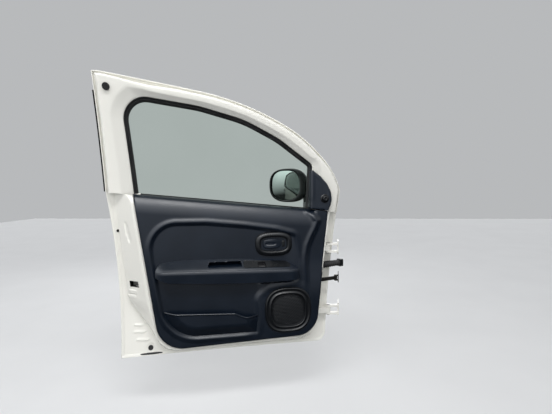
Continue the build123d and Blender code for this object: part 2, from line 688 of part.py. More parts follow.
def armrest_section():
    """Section of the armrest in (y, z): base, blunt underside, crest and sloping top."""
    base = TRIM_FLOOR_Y + SEAT
    crest = TRIM_FACE_Y + ARMREST_OUT
    return [
        (base, ARMREST_LOW_Z), (crest - 12, ARMREST_LOW_Z + 2), (crest - 4, ARMREST_LOW_Z + 14),
        (crest, ARMREST_CREST_Z), (base, ARMREST_TOP_Z),
    ]


def armrest_top_place(x, y):
    """A place on the armrest's sloping top, with local Z along its normal."""
    (crest_y, crest_z), (base_y, top_z) = armrest_section()[3:]
    slope = (top_z - crest_z) / (crest_y - base_y)
    return Pos(x, y, crest_z + (crest_y - y) * slope) * Rot(-math.degrees(math.atan(slope)), 0, 0)


def make_armrest():
    x0, x1 = ARMREST_ENDS
    section = Polyline(*[(x0, y, z) for y, z in armrest_section()], close=True)
    bar = extrude(Face(Wire(section.edges())), amount=x1 - x0, dir=(1, 0, 0))
    bar = fillet(bar.edges().filter_by(Axis.X).group_by(Axis.Y)[-1], 7)
    low, high = ARMREST_LOW_Z, ARMREST_TOP_Z
    side = rounded([(x0, low, 26), (x1 - 11, low, 30), (x1, high, 40), (x0, high, 44)])
    base, crest = TRIM_FLOOR_Y, TRIM_FACE_Y + ARMREST_OUT
    plan = rounded([(x0, -base, 0), (x1, -base, 0), (x1 - 6, -crest, 34), (x0 + 16, -crest, 46)])
    bar = bar & prism(side, base, crest + 1) & extrude(Rot(90, 0, 0) * plan, amount=900, dir=(0, 0, 1))
    cup = Pos(PULL_CUP[0], TRIM_FACE_Y + PULL_CUP[1], 0) * SlotOverall(PULL_CUP[2], PULL_CUP[3])
    return bar - extrude(Pos(0, 0, PULL_CUP[4]) * cup, amount=100)


def make_switch_plate():
    x, length, width, thickness = SWITCH_PLATE
    plate = box(-length / 2, length / 2, -width / 2, width / 2, SEAT, SEAT + thickness)
    plate = fillet(plate.edges().filter_by(Axis.Z), 8)
    return armrest_top_place(x, TRIM_FACE_Y + PULL_CUP[1]) * plate


def make_window_switch():
    length, width, height = ROCKER
    low = SWITCH_PLATE[3] + 2 * SEAT
    rocker = box(-length / 2, length / 2, -width / 2, width / 2, low, low + height)
    rocker = fillet(rocker.edges().filter_by(Axis.Y).group_by(Axis.Z)[-1], 5)
    return armrest_top_place(SWITCH_X, TRIM_FACE_Y + PULL_CUP[1]) * rocker


def make_map_pocket():
    """Open-topped pocket whose wall leans out from the trim."""
    floor, rim_y, wall = TRIM_FLOOR_Y + SEAT, TRIM_FACE_Y + POCKET_OUT, POCKET_WALL
    low = 80.0
    base = [(322, 164, 4), (399, 170, 6), (430, 188, 6), (712, 210, 8), (676, low + 12, 84), (322, low, 12)]
    front = [(332, 165, 4), (401, 171, 6), (432, 189, 6), (694, 208, 8), (652, low + 12 + POCKET_DRAFT, 64),
             (332, low + POCKET_DRAFT, 12)]
    outer = Solid.make_loft([(Pos(0, floor, 0) * rounded(base)).outer_wire(),
                             (Pos(0, rim_y, 0) * rounded(front)).outer_wire()], ruled=True)
    mouths = []
    for y, rows, out in ((floor + wall, base, 14), (rim_y - wall, front, 14)):
        (x0, z0, r0), (x1, z1, r1), x2 = rows[5], rows[4], rows[3][0]
        corners = [(x0 + wall, 260, 0), (x0 + wall, z0 + wall, r0 - 2), (x1 - wall, z1 + wall, r1 - 3),
                   (x2 - wall + out, 260, 0)]
        mouths.append((Pos(0, y, 0) * rounded(corners)).outer_wire())
    return outer - Solid.make_loft(mouths, ruled=True)


def make_speaker_grille():
    y = TRIM_FACE_Y + SEAT
    x, z = SPEAKER
    half_x, half_z, radius = SPEAKER_RIM
    rim = prism(centred(x, z, half_x, half_z, radius), y, y + 9)
    rim = fillet(rim.edges().group_by(Axis.Y)[-1], 4)
    rim -= prism(centred(x, z, half_x - 26, half_z - 26, radius - 22), y + 3, y + 20)
    for i in range(GRILLE_SLOTS):
        level = z + (i - (GRILLE_SLOTS - 1) / 2) * GRILLE_PITCH
        reach = math.sqrt(1 - ((level - z) / SPEAKER_CUT) ** 2) * SPEAKER_CUT - 8
        rim -= prism(centred(x, level, reach, GRILLE_SLOT / 2, GRILLE_SLOT / 2 - 0.1), y - 5, y + 20)
    return rim


def make_handle_bezel():
    floor, back = TRIM_FLOOR_Y + SEAT, TRIM_FLOOR_Y - BEZEL_DEPTH
    x, z = BEZEL
    half_x, half_z = BEZEL_CUP
    rim = prism(centred(x, z, *BEZEL_RIM), floor, floor + 12)
    rim = fillet(rim.edges().group_by(Axis.Y)[-1], 5)
    cup = prism(centred(x, z, half_x + 2, half_z + 2, 21), back, floor + 5)
    return rim + cup - prism(centred(x, z, half_x, half_z, 19), back + 2, floor + 50)


def make_release_lever():
    floor, back = TRIM_FLOOR_Y, TRIM_FLOOR_Y - BEZEL_DEPTH
    blade = prism(centred(BEZEL[0] + 12, BEZEL[1], 40, 17, 14), floor + 2, floor + 9)
    post = box(BEZEL[0] - 26, BEZEL[0] - 16, back + 2 + SEAT, floor + 4, BEZEL[1] - 12, BEZEL[1] + 12)
    return blade + post


def make_lock_slider():
    back = TRIM_FLOOR_Y - BEZEL_DEPTH
    return prism(centred(BEZEL[0] - 44, BEZEL[1], 9, 14, 4), back + 2 + SEAT, TRIM_FLOOR_Y + 7)


def sail_wedge(lift):
    """Block behind the sail cover's leaning face, which is moved inboard by lift."""
    low_z, high_z = BELT_Z - 7, BELT_Z + SAIL_HEIGHT
    low_y, high_y = TRIM_FACE_Y - SAIL_LOW_BACK + lift, TRIM_FACE_Y - SAIL_HIGH_BACK + lift
    rows = [(-FAR, low_z - 100), (low_y, low_z), (high_y, high_z), (-FAR, high_z + 100)]
    section = Polyline(*[(-200, y, z) for y, z in rows], close=True)
    return extrude(Face(Wire(section.edges())), amount=500, dir=(1, 0, 0))


def make_sail_cover():
    low = SILL_RISE + SEAT
    rear_x = BELT_X - 2
    rows = [
        (TRIM_FRONT_X, belt_z(TRIM_FRONT_X) + low, 0), (rear_x, belt_z(rear_x) + low, 0),
        (rear_x, BELT_Z + 173, 6), (44, BELT_Z + 140, 60), (2, BELT_Z + 83, 40),
    ]
    return through(rounded(rows)) & layer(FRAME_DEPTH + SEAT, 300) & sail_wedge(0)


def make_mirror_knob():
    x, z, radius = KNOB
    back = SAIL_LOW_BACK + (SAIL_HIGH_BACK - SAIL_LOW_BACK) * (z - radius - BELT_Z + 7) / (SAIL_HEIGHT + 7)
    y = TRIM_FACE_Y - back
    knob = cross(x, z, y - 3, y + 3, radius + 4) + cross(x, z, y, y + 16, radius)
    knob = fillet(knob.edges().group_by(Axis.Y)[-1], 3)
    return knob - sail_wedge(SEAT)


def make_frame_stop():
    x, z, radius = FRAME_STOP
    disc = Pos(x, 0, z) * Rot(90, 0, 0) * Circle(radius).face()
    return through(disc) & layer(FRAME_DEPTH + SEAT, FRAME_DEPTH + 8)


# Outside

def make_outer_handle():
    y = surface_y(HANDLE_X, HANDLE_Z)
    half = HANDLE_LENGTH / 2
    x0, x1 = HANDLE_X - half, HANDLE_X + half
    outer = Edge.make_three_point_arc((x0, y + 4, 0), (HANDLE_X, y - HANDLE_STAND, 0), (x1, y + 4, 0))
    inner = Edge.make_three_point_arc(
        (x1 - 24, y + 6, 0), (HANDLE_X, y - HANDLE_STAND + 13, 0), (x0 + 24, y + 6, 0))
    ends = [Edge.make_line(outer @ 1, inner @ 0), Edge.make_line(inner @ 1, outer @ 0)]
    profile = Face(Wire([outer, ends[0], inner, ends[1]]))
    grip = extrude(Pos(0, 0, HANDLE_Z - 13) * profile, amount=26)
    return grip - layer(-SEAT, 90)


def make_handle_end():
    x0 = HANDLE_X + HANDLE_LENGTH / 2 + 1
    y = surface_y(x0 + 14, HANDLE_Z)
    pad = box(x0, x0 + 28, y - 13, y + 10, HANDLE_Z - 13, HANDLE_Z + 13)
    pad = fillet(pad.edges().group_by(Axis.Y)[0], 5)
    return pad - layer(-SEAT, 90) - cross(x0 + 14, HANDLE_Z, y - 30, y - 8, 8 + PIN_CLEARANCE)


def make_lock_cylinder():
    x0 = HANDLE_X + HANDLE_LENGTH / 2 + 1
    y = surface_y(x0 + 14, HANDLE_Z)
    return cross(x0 + 14, HANDLE_Z, y - 12.5, y - 8 - SEAT, 8)


def make_mirror_base():
    foot = layer(-7, -SEAT) & through(rounded([(-6, 612, 14), (88, 618, 8), (90, 764, 16), (38, 728, 40)]))
    px, py = MIRROR_PIVOT
    low, high = MIRROR_LOW_Z - 24, MIRROR_LOW_Z - SEAT
    arm = plan_plate([(px - 40, -10), (px + 8, -10), (px + 17, py), (px - 17, py)], low, high)
    arm = (arm + upright(px, py, low, high, 17)) - layer(-SEAT, 200)
    return foot + arm


def mirror_place():
    return Pos(*MIRROR_PIVOT, MIRROR_LOW_Z + MIRROR_HEAD[2] / 2) * Rot(0, 0, MIRROR_TURN)


def mirror_window(grow, x0, x1):
    """Block in the outline of the mirror's glass, between two planes of the head."""
    width, height, out = MIRROR_PANE
    y, z, middle = width / 2 + grow, height / 2 + grow, MIRROR_SHIFT - out
    pane = box(x0, x1, middle - y, middle + y, -z, z)
    return fillet(pane.edges().filter_by(Axis.X), MIRROR_CORNER - 12 + grow)


def make_mirror_housing():
    depth, width, height = MIRROR_HEAD
    y0, y1 = MIRROR_SHIFT - width / 2, MIRROR_SHIFT + width / 2
    head = box(MIRROR_FACE_X - depth, MIRROR_FACE_X, y0, y1, -height / 2, height / 2)
    head = fillet(head.edges().filter_by(Axis.X), MIRROR_CORNER)
    head = fillet(head.edges().group_by(Axis.X)[0], MIRROR_BACK)
    head = fillet(head.edges().group_by(Axis.X)[-1], 4)
    head += upright(0, 0, -height / 2, 0, 16)
    head -= mirror_window(1.0, MIRROR_FACE_X - 12, MIRROR_FACE_X + 5)
    return mirror_place() * head


def make_mirror_glass():
    return mirror_place() * mirror_window(0.0, MIRROR_FACE_X - 12 + SEAT, MIRROR_FACE_X - 8)


def main():
    door = {
        "outer_skin": make_outer_skin(), "inner_panel": make_inner_panel(), **make_frame(),
        "pillar_applique": make_pillar_applique(), "window_glass": make_window_glass(),
        "glass_run_seal": make_glass_run_seal(), "outer_belt_seal": make_outer_belt_seal(),
        "inner_belt_seal": make_inner_belt_seal(), "upper_door_leaf": make_door_leaf(UPPER_HINGE_Z),
        "lower_door_leaf": make_door_leaf(LOWER_HINGE_Z), "check_guide": make_check_guide(),
        "wiring_gaiter": make_wiring_gaiter(), "wiring_plug": make_wiring_plug(),
        "latch_case": make_latch_case(), "latch_claw": make_latch_claw(), "door_trim": make_door_trim(),
        "armrest": make_armrest(), "switch_plate": make_switch_plate(), "window_switch": make_window_switch(),
        "map_pocket": make_map_pocket(), "speaker_grille": make_speaker_grille(),
        "handle_bezel": make_handle_bezel(), "release_lever": make_release_lever(),
        "lock_slider": make_lock_slider(), "sail_cover": make_sail_cover(), "mirror_knob": make_mirror_knob(),
        "frame_stop": make_frame_stop(), "outer_handle": make_outer_handle(), "handle_end": make_handle_end(),
        "lock_cylinder": make_lock_cylinder(), "mirror_base": make_mirror_base(),
        "mirror_housing": make_mirror_housing(), "mirror_glass": make_mirror_glass(),
    }
    pillar = {
        "upper_body_leaf": make_body_leaf(UPPER_HINGE_Z), "lower_body_leaf": make_body_leaf(LOWER_HINGE_Z),
        "upper_hinge_pin": make_pin(UPPER_HINGE_Z), "lower_hinge_pin": make_pin(LOWER_HINGE_Z),
        "check_bracket": make_check_bracket(), "check_pin": make_check_pin(), "check_arm": make_check_arm(),
    }
    os.makedirs("parts", exist_ok=True)
    shift = Pos(*(MOUNT_ORIGIN * -1))
    for name, shape in door.items():
        save(name, shift * Rot(0, 0, -OPEN_ANGLE) * shape)
    for name, shape in pillar.items():
        save(name, shift * shape)


def save(name, shape):
    solids = shape.solids()
    if len(solids) != 1 or not shape.is_valid:
        print("CHECK", name, len(solids), shape.is_valid)
    export_step(shape, f"parts/{name}.step")


main()
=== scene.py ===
"""Looks of the car door: fine surfaces, materials, light and the photo's camera.

Lengths are in millimetres in the door's own frame, as if it were shut: x from the hinge axis to
the rear, y inboard, z up from the bottom edge. place() turns them into the model's frame in metres.
"""
import bmesh
import bpy
import json
import math
import numpy as np
from mathutils import Matrix, Vector


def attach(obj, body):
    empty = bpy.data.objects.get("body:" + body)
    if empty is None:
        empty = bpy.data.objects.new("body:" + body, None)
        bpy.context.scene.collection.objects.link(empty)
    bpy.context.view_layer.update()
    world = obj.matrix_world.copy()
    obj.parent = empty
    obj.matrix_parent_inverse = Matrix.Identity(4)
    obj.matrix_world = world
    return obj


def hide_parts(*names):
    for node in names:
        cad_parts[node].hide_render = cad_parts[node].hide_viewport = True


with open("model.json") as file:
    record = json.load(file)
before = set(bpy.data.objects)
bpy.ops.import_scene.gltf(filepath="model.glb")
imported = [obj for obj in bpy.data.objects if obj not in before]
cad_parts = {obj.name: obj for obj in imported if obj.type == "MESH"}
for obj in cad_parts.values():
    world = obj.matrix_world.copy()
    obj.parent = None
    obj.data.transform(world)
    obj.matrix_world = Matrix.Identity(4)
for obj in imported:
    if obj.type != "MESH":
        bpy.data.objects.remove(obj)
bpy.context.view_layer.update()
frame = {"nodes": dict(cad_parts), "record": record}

OPEN = math.radians(70.0)
AXIS = (50.0, -48.0, -287.5)  # hinge axis and door bottom in the model's frame, mm

# The door's curved side, and the sloping belt line under its window
SKIN_TO_AXIS = 54.0
PLAN_RADIUS = 9000.0
PLAN_MIDDLE_X = 445.0
SIDE_WIDEST_Z = 345.0
SIDE_TUCK_IN = 36.0
SIDE_SHOULDER = (20.0, 640.0)  # inwards from the widest point, and height, where it starts to lean in
SIDE_TOP = (186.0, 1200.0)
BELT_X, BELT_Z, BELT_SLOPE = 99.0, 607.0, math.tan(math.radians(6.24))

# The inner panel's front wall, which comes forward by the first of WALL_LEAN over the second
WALL_FOOT = (74.0, 110.0)
WALL_LEAN = (77.0, 570.0)

PANEL_DEPTH = 3.1  # of the panel's flange behind the skin
STEP_Y = -14.0  # y of the step at the tub's mouth, and of the tub's face
PANEL_FACE_Y = 57.0
FACE_Y = 70.0  # y of the trim's face, and of the floor of its recess
FLOOR_Y = 61.0


# Geometry helpers

def place(points):
    """Door millimetres to model metres."""
    p = np.asarray(points, float)
    c, s = math.cos(OPEN), math.sin(OPEN)
    x, y, z = p[..., 0], p[..., 1], p[..., 2]
    return np.stack([x * c + y * s + AXIS[0], -x * s + y * c + AXIS[1], z + AXIS[2]], -1) / 1000


def skin_y(x, z, depth=0.0):
    """y of the door's curved outer surface, this deep behind it."""
    x, z = np.asarray(x, float), np.asarray(z, float)
    bow = PLAN_RADIUS - np.sqrt(PLAN_RADIUS**2 - (x - PLAN_MIDDLE_X) ** 2)
    wide, tuck = SIDE_WIDEST_Z, SIDE_TUCK_IN
    inwards, shoulder = SIDE_SHOULDER
    rise_to = shoulder - wide
    lean, height = SIDE_TOP[0] - inwards, SIDE_TOP[1] - shoulder
    low = (wide**2 + tuck**2) / (2 * tuck)
    mid = (rise_to**2 + inwards**2) / (2 * inwards)
    start = math.asin(rise_to / mid)
    top = math.hypot(height, lean) / (2 * math.sin(math.atan2(lean, height) - start))
    lower = low - np.sqrt(low**2 - (np.minimum(z, wide) - wide) ** 2)
    middle = mid - np.sqrt(mid**2 - (np.clip(z, wide, shoulder) - wide) ** 2)
    angle = np.arcsin(np.clip(math.sin(start) + np.maximum(z - shoulder, 0) / top, -1, 1))
    upper = top * (math.cos(start) - np.cos(angle))
    return depth - SKIN_TO_AXIS + bow + lower + middle + upper


def belt(x):
    """Height of the window's sill."""
    return BELT_Z + (np.asarray(x, float) - BELT_X) * BELT_SLOPE


def wall_x(z):
    """x of the inner panel's front wall."""
    return WALL_FOOT[0] - WALL_LEAN[0] * (z - WALL_FOOT[1]) / WALL_LEAN[1]


def smooth(t):
    """0 up to t = 0, then gently to 1 at t = 1."""
    t = np.clip(t, 0, 1)
    return t * t * (3 - 2 * t)


def rise(value, start, length):
    """0 up to start, then gently to 1 over this length."""
    return smooth((value - start) / length)


def fall(value, end, length):
    """1, then gently down over this length to 0 from end on."""
    return smooth((end - value) / length)


def dome(t):
    """Quarter circle: 0 at t = 0 with an upright start, 1 from t = 1 on."""
    return np.sqrt(np.clip(1 - (1 - np.clip(t, 0, 1)) ** 2, 0, 1))


def hill(t):
    """1 at t = 0, falling off like a bell on both sides."""
    return np.exp(-t * t)


def rounded(corners, arc):
    """Outline from (a, b, radius) rows, with arc points on each corner, as an (n, 2) array."""
    out = []
    count = len(corners)
    for i, (a, b, radius) in enumerate(corners):
        here = np.array([a, b], float)
        before = np.array(corners[i - 1][:2], float) - here
        after = np.array(corners[(i + 1) % count][:2], float) - here
        before /= np.linalg.norm(before)
        after /= np.linalg.norm(after)
        if radius <= 0:
            out.append(here[None])
            continue
        half = math.acos(np.clip(before @ after, -1, 1)) / 2
        centre = here + (before + after) / np.linalg.norm(before + after) * radius / math.sin(half)
        first = here + before * radius / math.tan(half)
        last = here + after * radius / math.tan(half)
        a0 = math.atan2(first[1] - centre[1], first[0] - centre[0])
        a1 = math.atan2(last[1] - centre[1], last[0] - centre[0])
        turn = (a1 - a0 + math.pi) % (2 * math.pi) - math.pi
        angles = a0 + turn * np.linspace(0, 1, arc)
        out.append(centre + radius * np.stack([np.cos(angles), np.sin(angles)], 1))
    return np.concatenate(out)


def lens(a, b, half_a, half_b, radius, arc=10):
    """Rounded rectangle round (a, b)."""
    return rounded([(a - half_a, b - half_b, radius), (a + half_a, b - half_b, radius),
                    (a + half_a, b + half_b, radius), (a - half_a, b + half_b, radius)], arc)


def squircle(a, b, half_a, half_b, power, count=96):
    """Closed curve between an ellipse, at power 2, and a rectangle."""
    t = np.linspace(0, 2 * math.pi, count, endpoint=False)
    c, s = np.cos(t), np.sin(t)
    x = np.sign(c) * np.abs(c) ** (2 / power)
    z = np.sign(s) * np.abs(s) ** (2 / power)
    return np.stack([a + half_a * x, b + half_b * z], 1)


def arc3(a, b, c, count=24):
    """Points on the arc from a through b to c."""
    (ax, az), (bx, bz), (cx, cz) = a, b, c
    d = 2 * (ax * (bz - cz) + bx * (cz - az) + cx * (az - bz))
    sa, sb, sc = ax * ax + az * az, bx * bx + bz * bz, cx * cx + cz * cz
    ox = (sa * (bz - cz) + sb * (cz - az) + sc * (az - bz)) / d
    oz = (sa * (cx - bx) + sb * (ax - cx) + sc * (bx - ax)) / d
    t0, t1 = math.atan2(az - oz, ax - ox), math.atan2(cz - oz, cx - ox)
    turn = (t1 - t0 + math.pi) % (2 * math.pi) - math.pi
    t = t0 + turn * np.linspace(0, 1, count)
    r = math.hypot(ax - ox, az - oz)
    return np.stack([ox + r * np.cos(t), oz + r * np.sin(t)], 1)


def tangent_arc(points, end):
    """Arc that goes on smoothly from a line of points to end."""
    count = 16
    a, before = points[-1], points[-2]
    d = (a - before) / np.linalg.norm(a - before)
    chord = np.array(end, float) - a
    angle = 2 * math.atan2(d[0] * chord[1] - d[1] * chord[0], float(d @ chord))
    r = np.linalg.norm(chord) / (2 * math.sin(abs(angle) / 2))
    centre = a + np.array([-d[1], d[0]]) * math.copysign(r, angle)
    t = angle * np.linspace(0, 1, count)
    spoke = a - centre
    turned = [spoke[0] * np.cos(t) - spoke[1] * np.sin(t), spoke[0] * np.sin(t) + spoke[1] * np.cos(t)]
    return centre + np.stack(turned, 1)


def dense(points, step=1.0, closed=False):
    """A line cut into even short steps."""
    points = np.vstack([points, points[:1]]) if closed else np.asarray(points)
    run = np.concatenate([[0], np.cumsum(np.linalg.norm(np.diff(points, axis=0), axis=1))])
    at = np.linspace(0, run[-1], max(2, int(run[-1] / step) + 1))
    line = np.stack([np.interp(at, run, points[:, k]) for k in (0, 1)], 1)
    return line[:-1] if closed else line


def by_anchors(points, anchors, counts):
    """Points along a line, each stretch between two anchors cut into its count."""
    line = dense(points, 0.5)
    marks = [int(np.argmin(((line - a) ** 2).sum(1))) for a in anchors]
    spans = zip(marks, marks[1:], counts)
    at = np.concatenate([np.linspace(a, b, n, endpoint=False) for a, b, n in spans] + [[marks[-1]]])
    return np.stack([np.interp(at, np.arange(len(line)), line[:, k]) for k in (0, 1)], 1)


def belt_cut(shape, above=False):
    """The stretch of a counter-clockwise shape on one side of the belt line.

    Below, it runs from the front round the bottom to the rear; above, from the rear to the front."""
    kept = (shape[:, 1] > belt(shape[:, 0])) == above
    first = np.flatnonzero(kept & ~np.roll(kept, 1))[0]
    run = np.roll(shape, -first, 0)[:kept.sum()]
    ends = [[(x, float(belt(x)))] for x in (run[0, 0], run[-1, 0])]
    return np.concatenate([ends[0], run, ends[1]])


def left_normals(line, closed=False):
    """Unit normals on the left of the direction of travel."""
    if closed:
        ahead = np.roll(line, -1, 0) - np.roll(line, 1, 0)
    else:
        ahead = np.gradient(line, axis=0)
    ahead = ahead / np.linalg.norm(ahead, axis=1)[:, None]
    return np.stack([-ahead[:, 1], ahead[:, 0]], 1)


def inside(outline, x, z, closed=True):
    """Signed distance to an outline, positive inside; for an open line, positive on its left."""
    px, pz = np.asarray(x, float).ravel(), np.asarray(z, float).ravel()
    starts = outline if closed else outline[:-1]
    stops = np.roll(outline, -1, 0) if closed else outline[1:]
    best = np.full(px.shape, 1e18)
    within = np.zeros(px.shape, bool)
    side = np.zeros(px.shape)
    for (ax, az), (bx, bz) in zip(starts, stops):
        ex, ez = bx - ax, bz - az
        length = ex * ex + ez * ez
        if length < 1e-12:
            continue
        wx, wz = px - ax, pz - az
        t = np.clip((wx * ex + wz * ez) / length, 0, 1)
        dist = (wx - ex * t) ** 2 + (wz - ez * t) ** 2
        near = dist < best
        best = np.where(near, dist, best)
        side = np.where(near, np.sign(ex * wz - ez * wx), side)
        if closed and az != bz:
            crosses = (az > pz) != (bz > pz)
            within ^= crosses & (px < ax + (pz - az) / (bz - az) * ex)
    signs = np.where(within, 1, -1) if closed else side
    return (np.sqrt(best) * signs).reshape(np.shape(x))


def grid_faces(rows, cols, around, closed):
    """Quads of a grid; around joins its last column to its first, closed its last row to its first."""
    faces = []
    for i in range(rows if closed else rows - 1):
        for j in range(cols if around else cols - 1):
            k, n = (i + 1) % rows, (j + 1) % cols
            faces.append((i * cols + j, i * cols + n, k * cols + n, k * cols + j))
    return faces


def make(name, shape, replaces, slot, sharp=40.0, body="door", spot=place):
    """A piece from (verts, faces), finished as its slot says, with creases above this angle."""
    verts, faces = shape
    mesh = bpy.data.meshes.new(name)
    mesh.from_pydata([tuple(v) for v in spot(np.asarray(verts, float))], [], [tuple(f) for f in faces])
    mesh.validate()
    clean(mesh)
    mesh.update()
    obj = bpy.data.objects.new(name, mesh)
    bpy.context.scene.collection.objects.link(obj)
    mesh.shade_smooth()
    mesh.set_sharp_from_angle(angle=math.radians(sharp))
    mesh.materials.append(FINISH[slot])
    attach(obj, body)
    if replaces:
        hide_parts(*replaces)


def clean(mesh):
    """Weld doubled points, drop empty faces and turn the faces of each shell the same way."""
    form = bmesh.new()
    form.from_mesh(mesh)
    bmesh.ops.remove_doubles(form, verts=form.verts, dist=1e-6)
    empty = [f for f in form.faces if f.calc_area() < 1e-12]
    bmesh.ops.delete(form, geom=empty, context="FACES_ONLY")
    bmesh.ops.recalc_face_normals(form, faces=form.faces)
    form.to_mesh(mesh)
    form.free()


def field(outline, xs, zs, height, top=None, skirt=None, back=None):
    """Sheet over an outline in x, z with y = height(x, z); its rim is moved onto the outline.

    With top, the rows zs are measured down from the line z = top(x). skirt(x, y, z) gives the point to
    which each rim point goes down, and back is the thickness of a closed sheet."""
    gx, gz = np.meshgrid(np.asarray(xs, float), np.asarray(zs, float))
    if top is not None:
        gz = top(gx) - gz
    d = inside(outline, gx, gz)
    eps = 0.01
    nx = (inside(outline, gx + eps, gz) - inside(outline, gx - eps, gz)) / (2 * eps)
    nz = (inside(outline, gx, gz + eps) - inside(outline, gx, gz - eps)) / (2 * eps)
    reach = 0.55 * (xs[1] - xs[0])
    keep = d > -reach
    near = keep & (d < reach)
    gx = np.where(near, gx - nx * d, gx)
    gz = np.where(near, gz - nz * d, gz)
    gy = height(gx, gz)
    index = -np.ones(gx.shape, int)
    index[keep] = np.arange(keep.sum())
    verts = np.stack([gx[keep], gy[keep], gz[keep]], 1).tolist()
    faces = []
    for i in range(gx.shape[0] - 1):
        for j in range(gx.shape[1] - 1):
            ids = [index[i, j], index[i, j + 1], index[i + 1, j + 1], index[i + 1, j]]
            ids = [int(k) for k in ids if k >= 0]
            if len(ids) > 2:
                faces.append(tuple(ids[::-1] if top is None else ids))
    edges = dict.fromkeys((a, b) for f in faces for a, b in zip(f, f[1:] + f[:1]))
    rim = [e for e in edges if (e[1], e[0]) not in edges]
    if back is not None:
        count = len(verts)
        verts += [(x, y - back, z) for x, y, z in verts]
        faces += [tuple(k + count for k in f[::-1]) for f in faces]
        faces += [(b, a, a + count, b + count) for a, b in rim]
    if skirt is not None:
        down = {}
        for a, b in rim:
            for v in (a, b):
                if v not in down:
                    down[v] = len(verts)
                    verts.append(skirt(*verts[v]))
            faces.append((b, a, down[a], down[b]))
    return verts, faces


def loft(rows, around=True, closed=False, cap_first=False, cap_last=False):
    """Rows of points with equal counts, joined by quads."""
    cols = len(rows[0])
    faces = grid_faces(len(rows), cols, around, closed)
    if cap_first:
        faces.append(tuple(range(cols))[::-1])
    if cap_last:
        faces.append(tuple(range((len(rows) - 1) * cols, len(rows) * cols)))
    return np.concatenate(rows), faces


def rings(path, profile, cap_last=False):
    """Rings inside a closed outline in x, z. Profile rows are (inwards, y)."""
    normal = left_normals(path, closed=True)
    rows = []
    for inwards, y in profile:
        p = path + normal * inwards
        rows.append(np.stack([p[:, 0], np.full(len(p), float(y)), p[:, 1]], 1))
    return loft(rows, cap_last=cap_last)


def lathe(a, b, profile, count=40):
    """Turned piece about the line x = a, z = b. Profile rows are (radius, y)."""
    t = np.linspace(0, 2 * math.pi, count, endpoint=False)
    rows = [np.stack([a + r * np.cos(t), np.full(count, float(y)), b + r * np.sin(t)], 1) for r, y in profile]
    return loft(rows, cap_first=True, cap_last=True)


def join(*pieces):
    """Several (verts, faces) pairs as one."""
    verts, faces = [], []
    for v, f in pieces:
        base = len(verts)
        verts += [tuple(p) for p in v]
        faces += [tuple(k + base for k in face) for face in f]
    return verts, faces


# Materials

def node_material(name):
    mat = bpy.data.materials.new(name)
    mat.use_nodes = True
    tree = mat.node_tree
    tree.nodes.clear()
    out = tree.nodes.new("ShaderNodeOutputMaterial")
    shader = tree.nodes.new("ShaderNodeBsdfPrincipled")
    tree.links.new(shader.outputs["BSDF"], out.inputs["Surface"])
    coords = tree.nodes.new("ShaderNodeTexCoord")
    return mat, tree, shader, coords


def noise(tree, coords, scale, detail=4.0):
    tex = tree.nodes.new("ShaderNodeTexNoise")
    tex.inputs["Scale"].default_value = scale
    tex.inputs["Detail"].default_value = detail
    tree.links.new(coords.outputs["Object"], tex.inputs["Vector"])
    return tex


def ramp(tree, source, low, high, first, second):
    node = tree.nodes.new("ShaderNodeValToRGB")
    node.color_ramp.elements[0].position = low
    node.color_ramp.elements[0].color = (*first, 1)
    node.color_ramp.elements[1].position = high
    node.color_ramp.elements[1].color = (*second, 1)
    tree.links.new(source, node.inputs["Fac"])
    return node


def span(tree, source, low, high, to_low, to_high):
    node = tree.nodes.new("ShaderNodeMapRange")
    for key, value in zip(("From Min", "From Max", "To Min", "To Max"), (low, high, to_low, to_high)):
        node.inputs[key].default_value = value
    tree.links.new(source, node.inputs["Value"])
    return node


def bump(tree, source, strength, distance):
    node = tree.nodes.new("ShaderNodeBump")
    node.inputs["Strength"].default_value = strength
    node.inputs["Distance"].default_value = distance
    tree.links.new(source, node.inputs["Height"])
    return node


def mottle(tree, shader, coords, scale, tones, rough, low=0.3):
    """Colour and roughness that vary a little over a broad scale."""
    broad = noise(tree, coords, scale).outputs["Fac"]
    tone = ramp(tree, broad, low, 1 - low, *tones)
    tree.links.new(tone.outputs["Color"], shader.inputs["Base Color"])
    gloss = span(tree, broad, 0.3, 0.7, *rough)
    tree.links.new(gloss.outputs["Result"], shader.inputs["Roughness"])


def surface(name, tones, rough, broad, grain, grain_depth, grain_strength=0.3, metallic=0.0, coat=0.0,
            specular=0.5):
    """Opaque finish that varies over a broad scale, with a fine grain."""
    mat, tree, shader, coords = node_material(name)
    shader.inputs["Metallic"].default_value = metallic
    shader.inputs["Coat Weight"].default_value = coat
    shader.inputs["Coat Roughness"].default_value = 0.05
    shader.inputs["Specular IOR Level"].default_value = specular
    mottle(tree, shader, coords, broad, tones, rough, 0.35)
    fine = noise(tree, coords, grain, 2.0)
    relief = bump(tree, fine.outputs["Fac"], grain_strength, grain_depth)
    tree.links.new(relief.outputs["Normal"], shader.inputs["Normal"])
    return mat


def white_paint():
    return surface("white_paint", ((0.788, 0.780, 0.728), (0.792, 0.784, 0.731)), (0.24, 0.26), 5.0, 260.0,
                   0.00006, 0.12, coat=0.2, specular=0.4)


def moulded_card():
    """Grained, a little blue."""
    return surface("moulded_card", ((0.0034, 0.0066, 0.0125), (0.0050, 0.0090, 0.0165)), (0.28, 0.36), 7.0,
                   1100.0, 0.00006, specular=0.42)


def black_plastic():
    return surface("black_plastic", ((0.0032, 0.0040, 0.0052), (0.0052, 0.0062, 0.0078)), (0.25, 0.33), 9.0,
                   900.0, 0.00005, 0.25, specular=0.36)


def gloss_black():
    """For the strip on the frame's edge."""
    return surface("gloss_black", ((0.004, 0.004, 0.005), (0.006, 0.006, 0.007)), (0.12, 0.2), 9.0, 300.0,
                   0.00003, 0.05, specular=0.2)


def seal_rubber():
    """Matt rubber, mottled by wear."""
    return surface("seal_rubber", ((0.008, 0.008, 0.009), (0.014, 0.014, 0.015)), (0.6, 0.75), 14.0, 700.0,
                   0.0001)


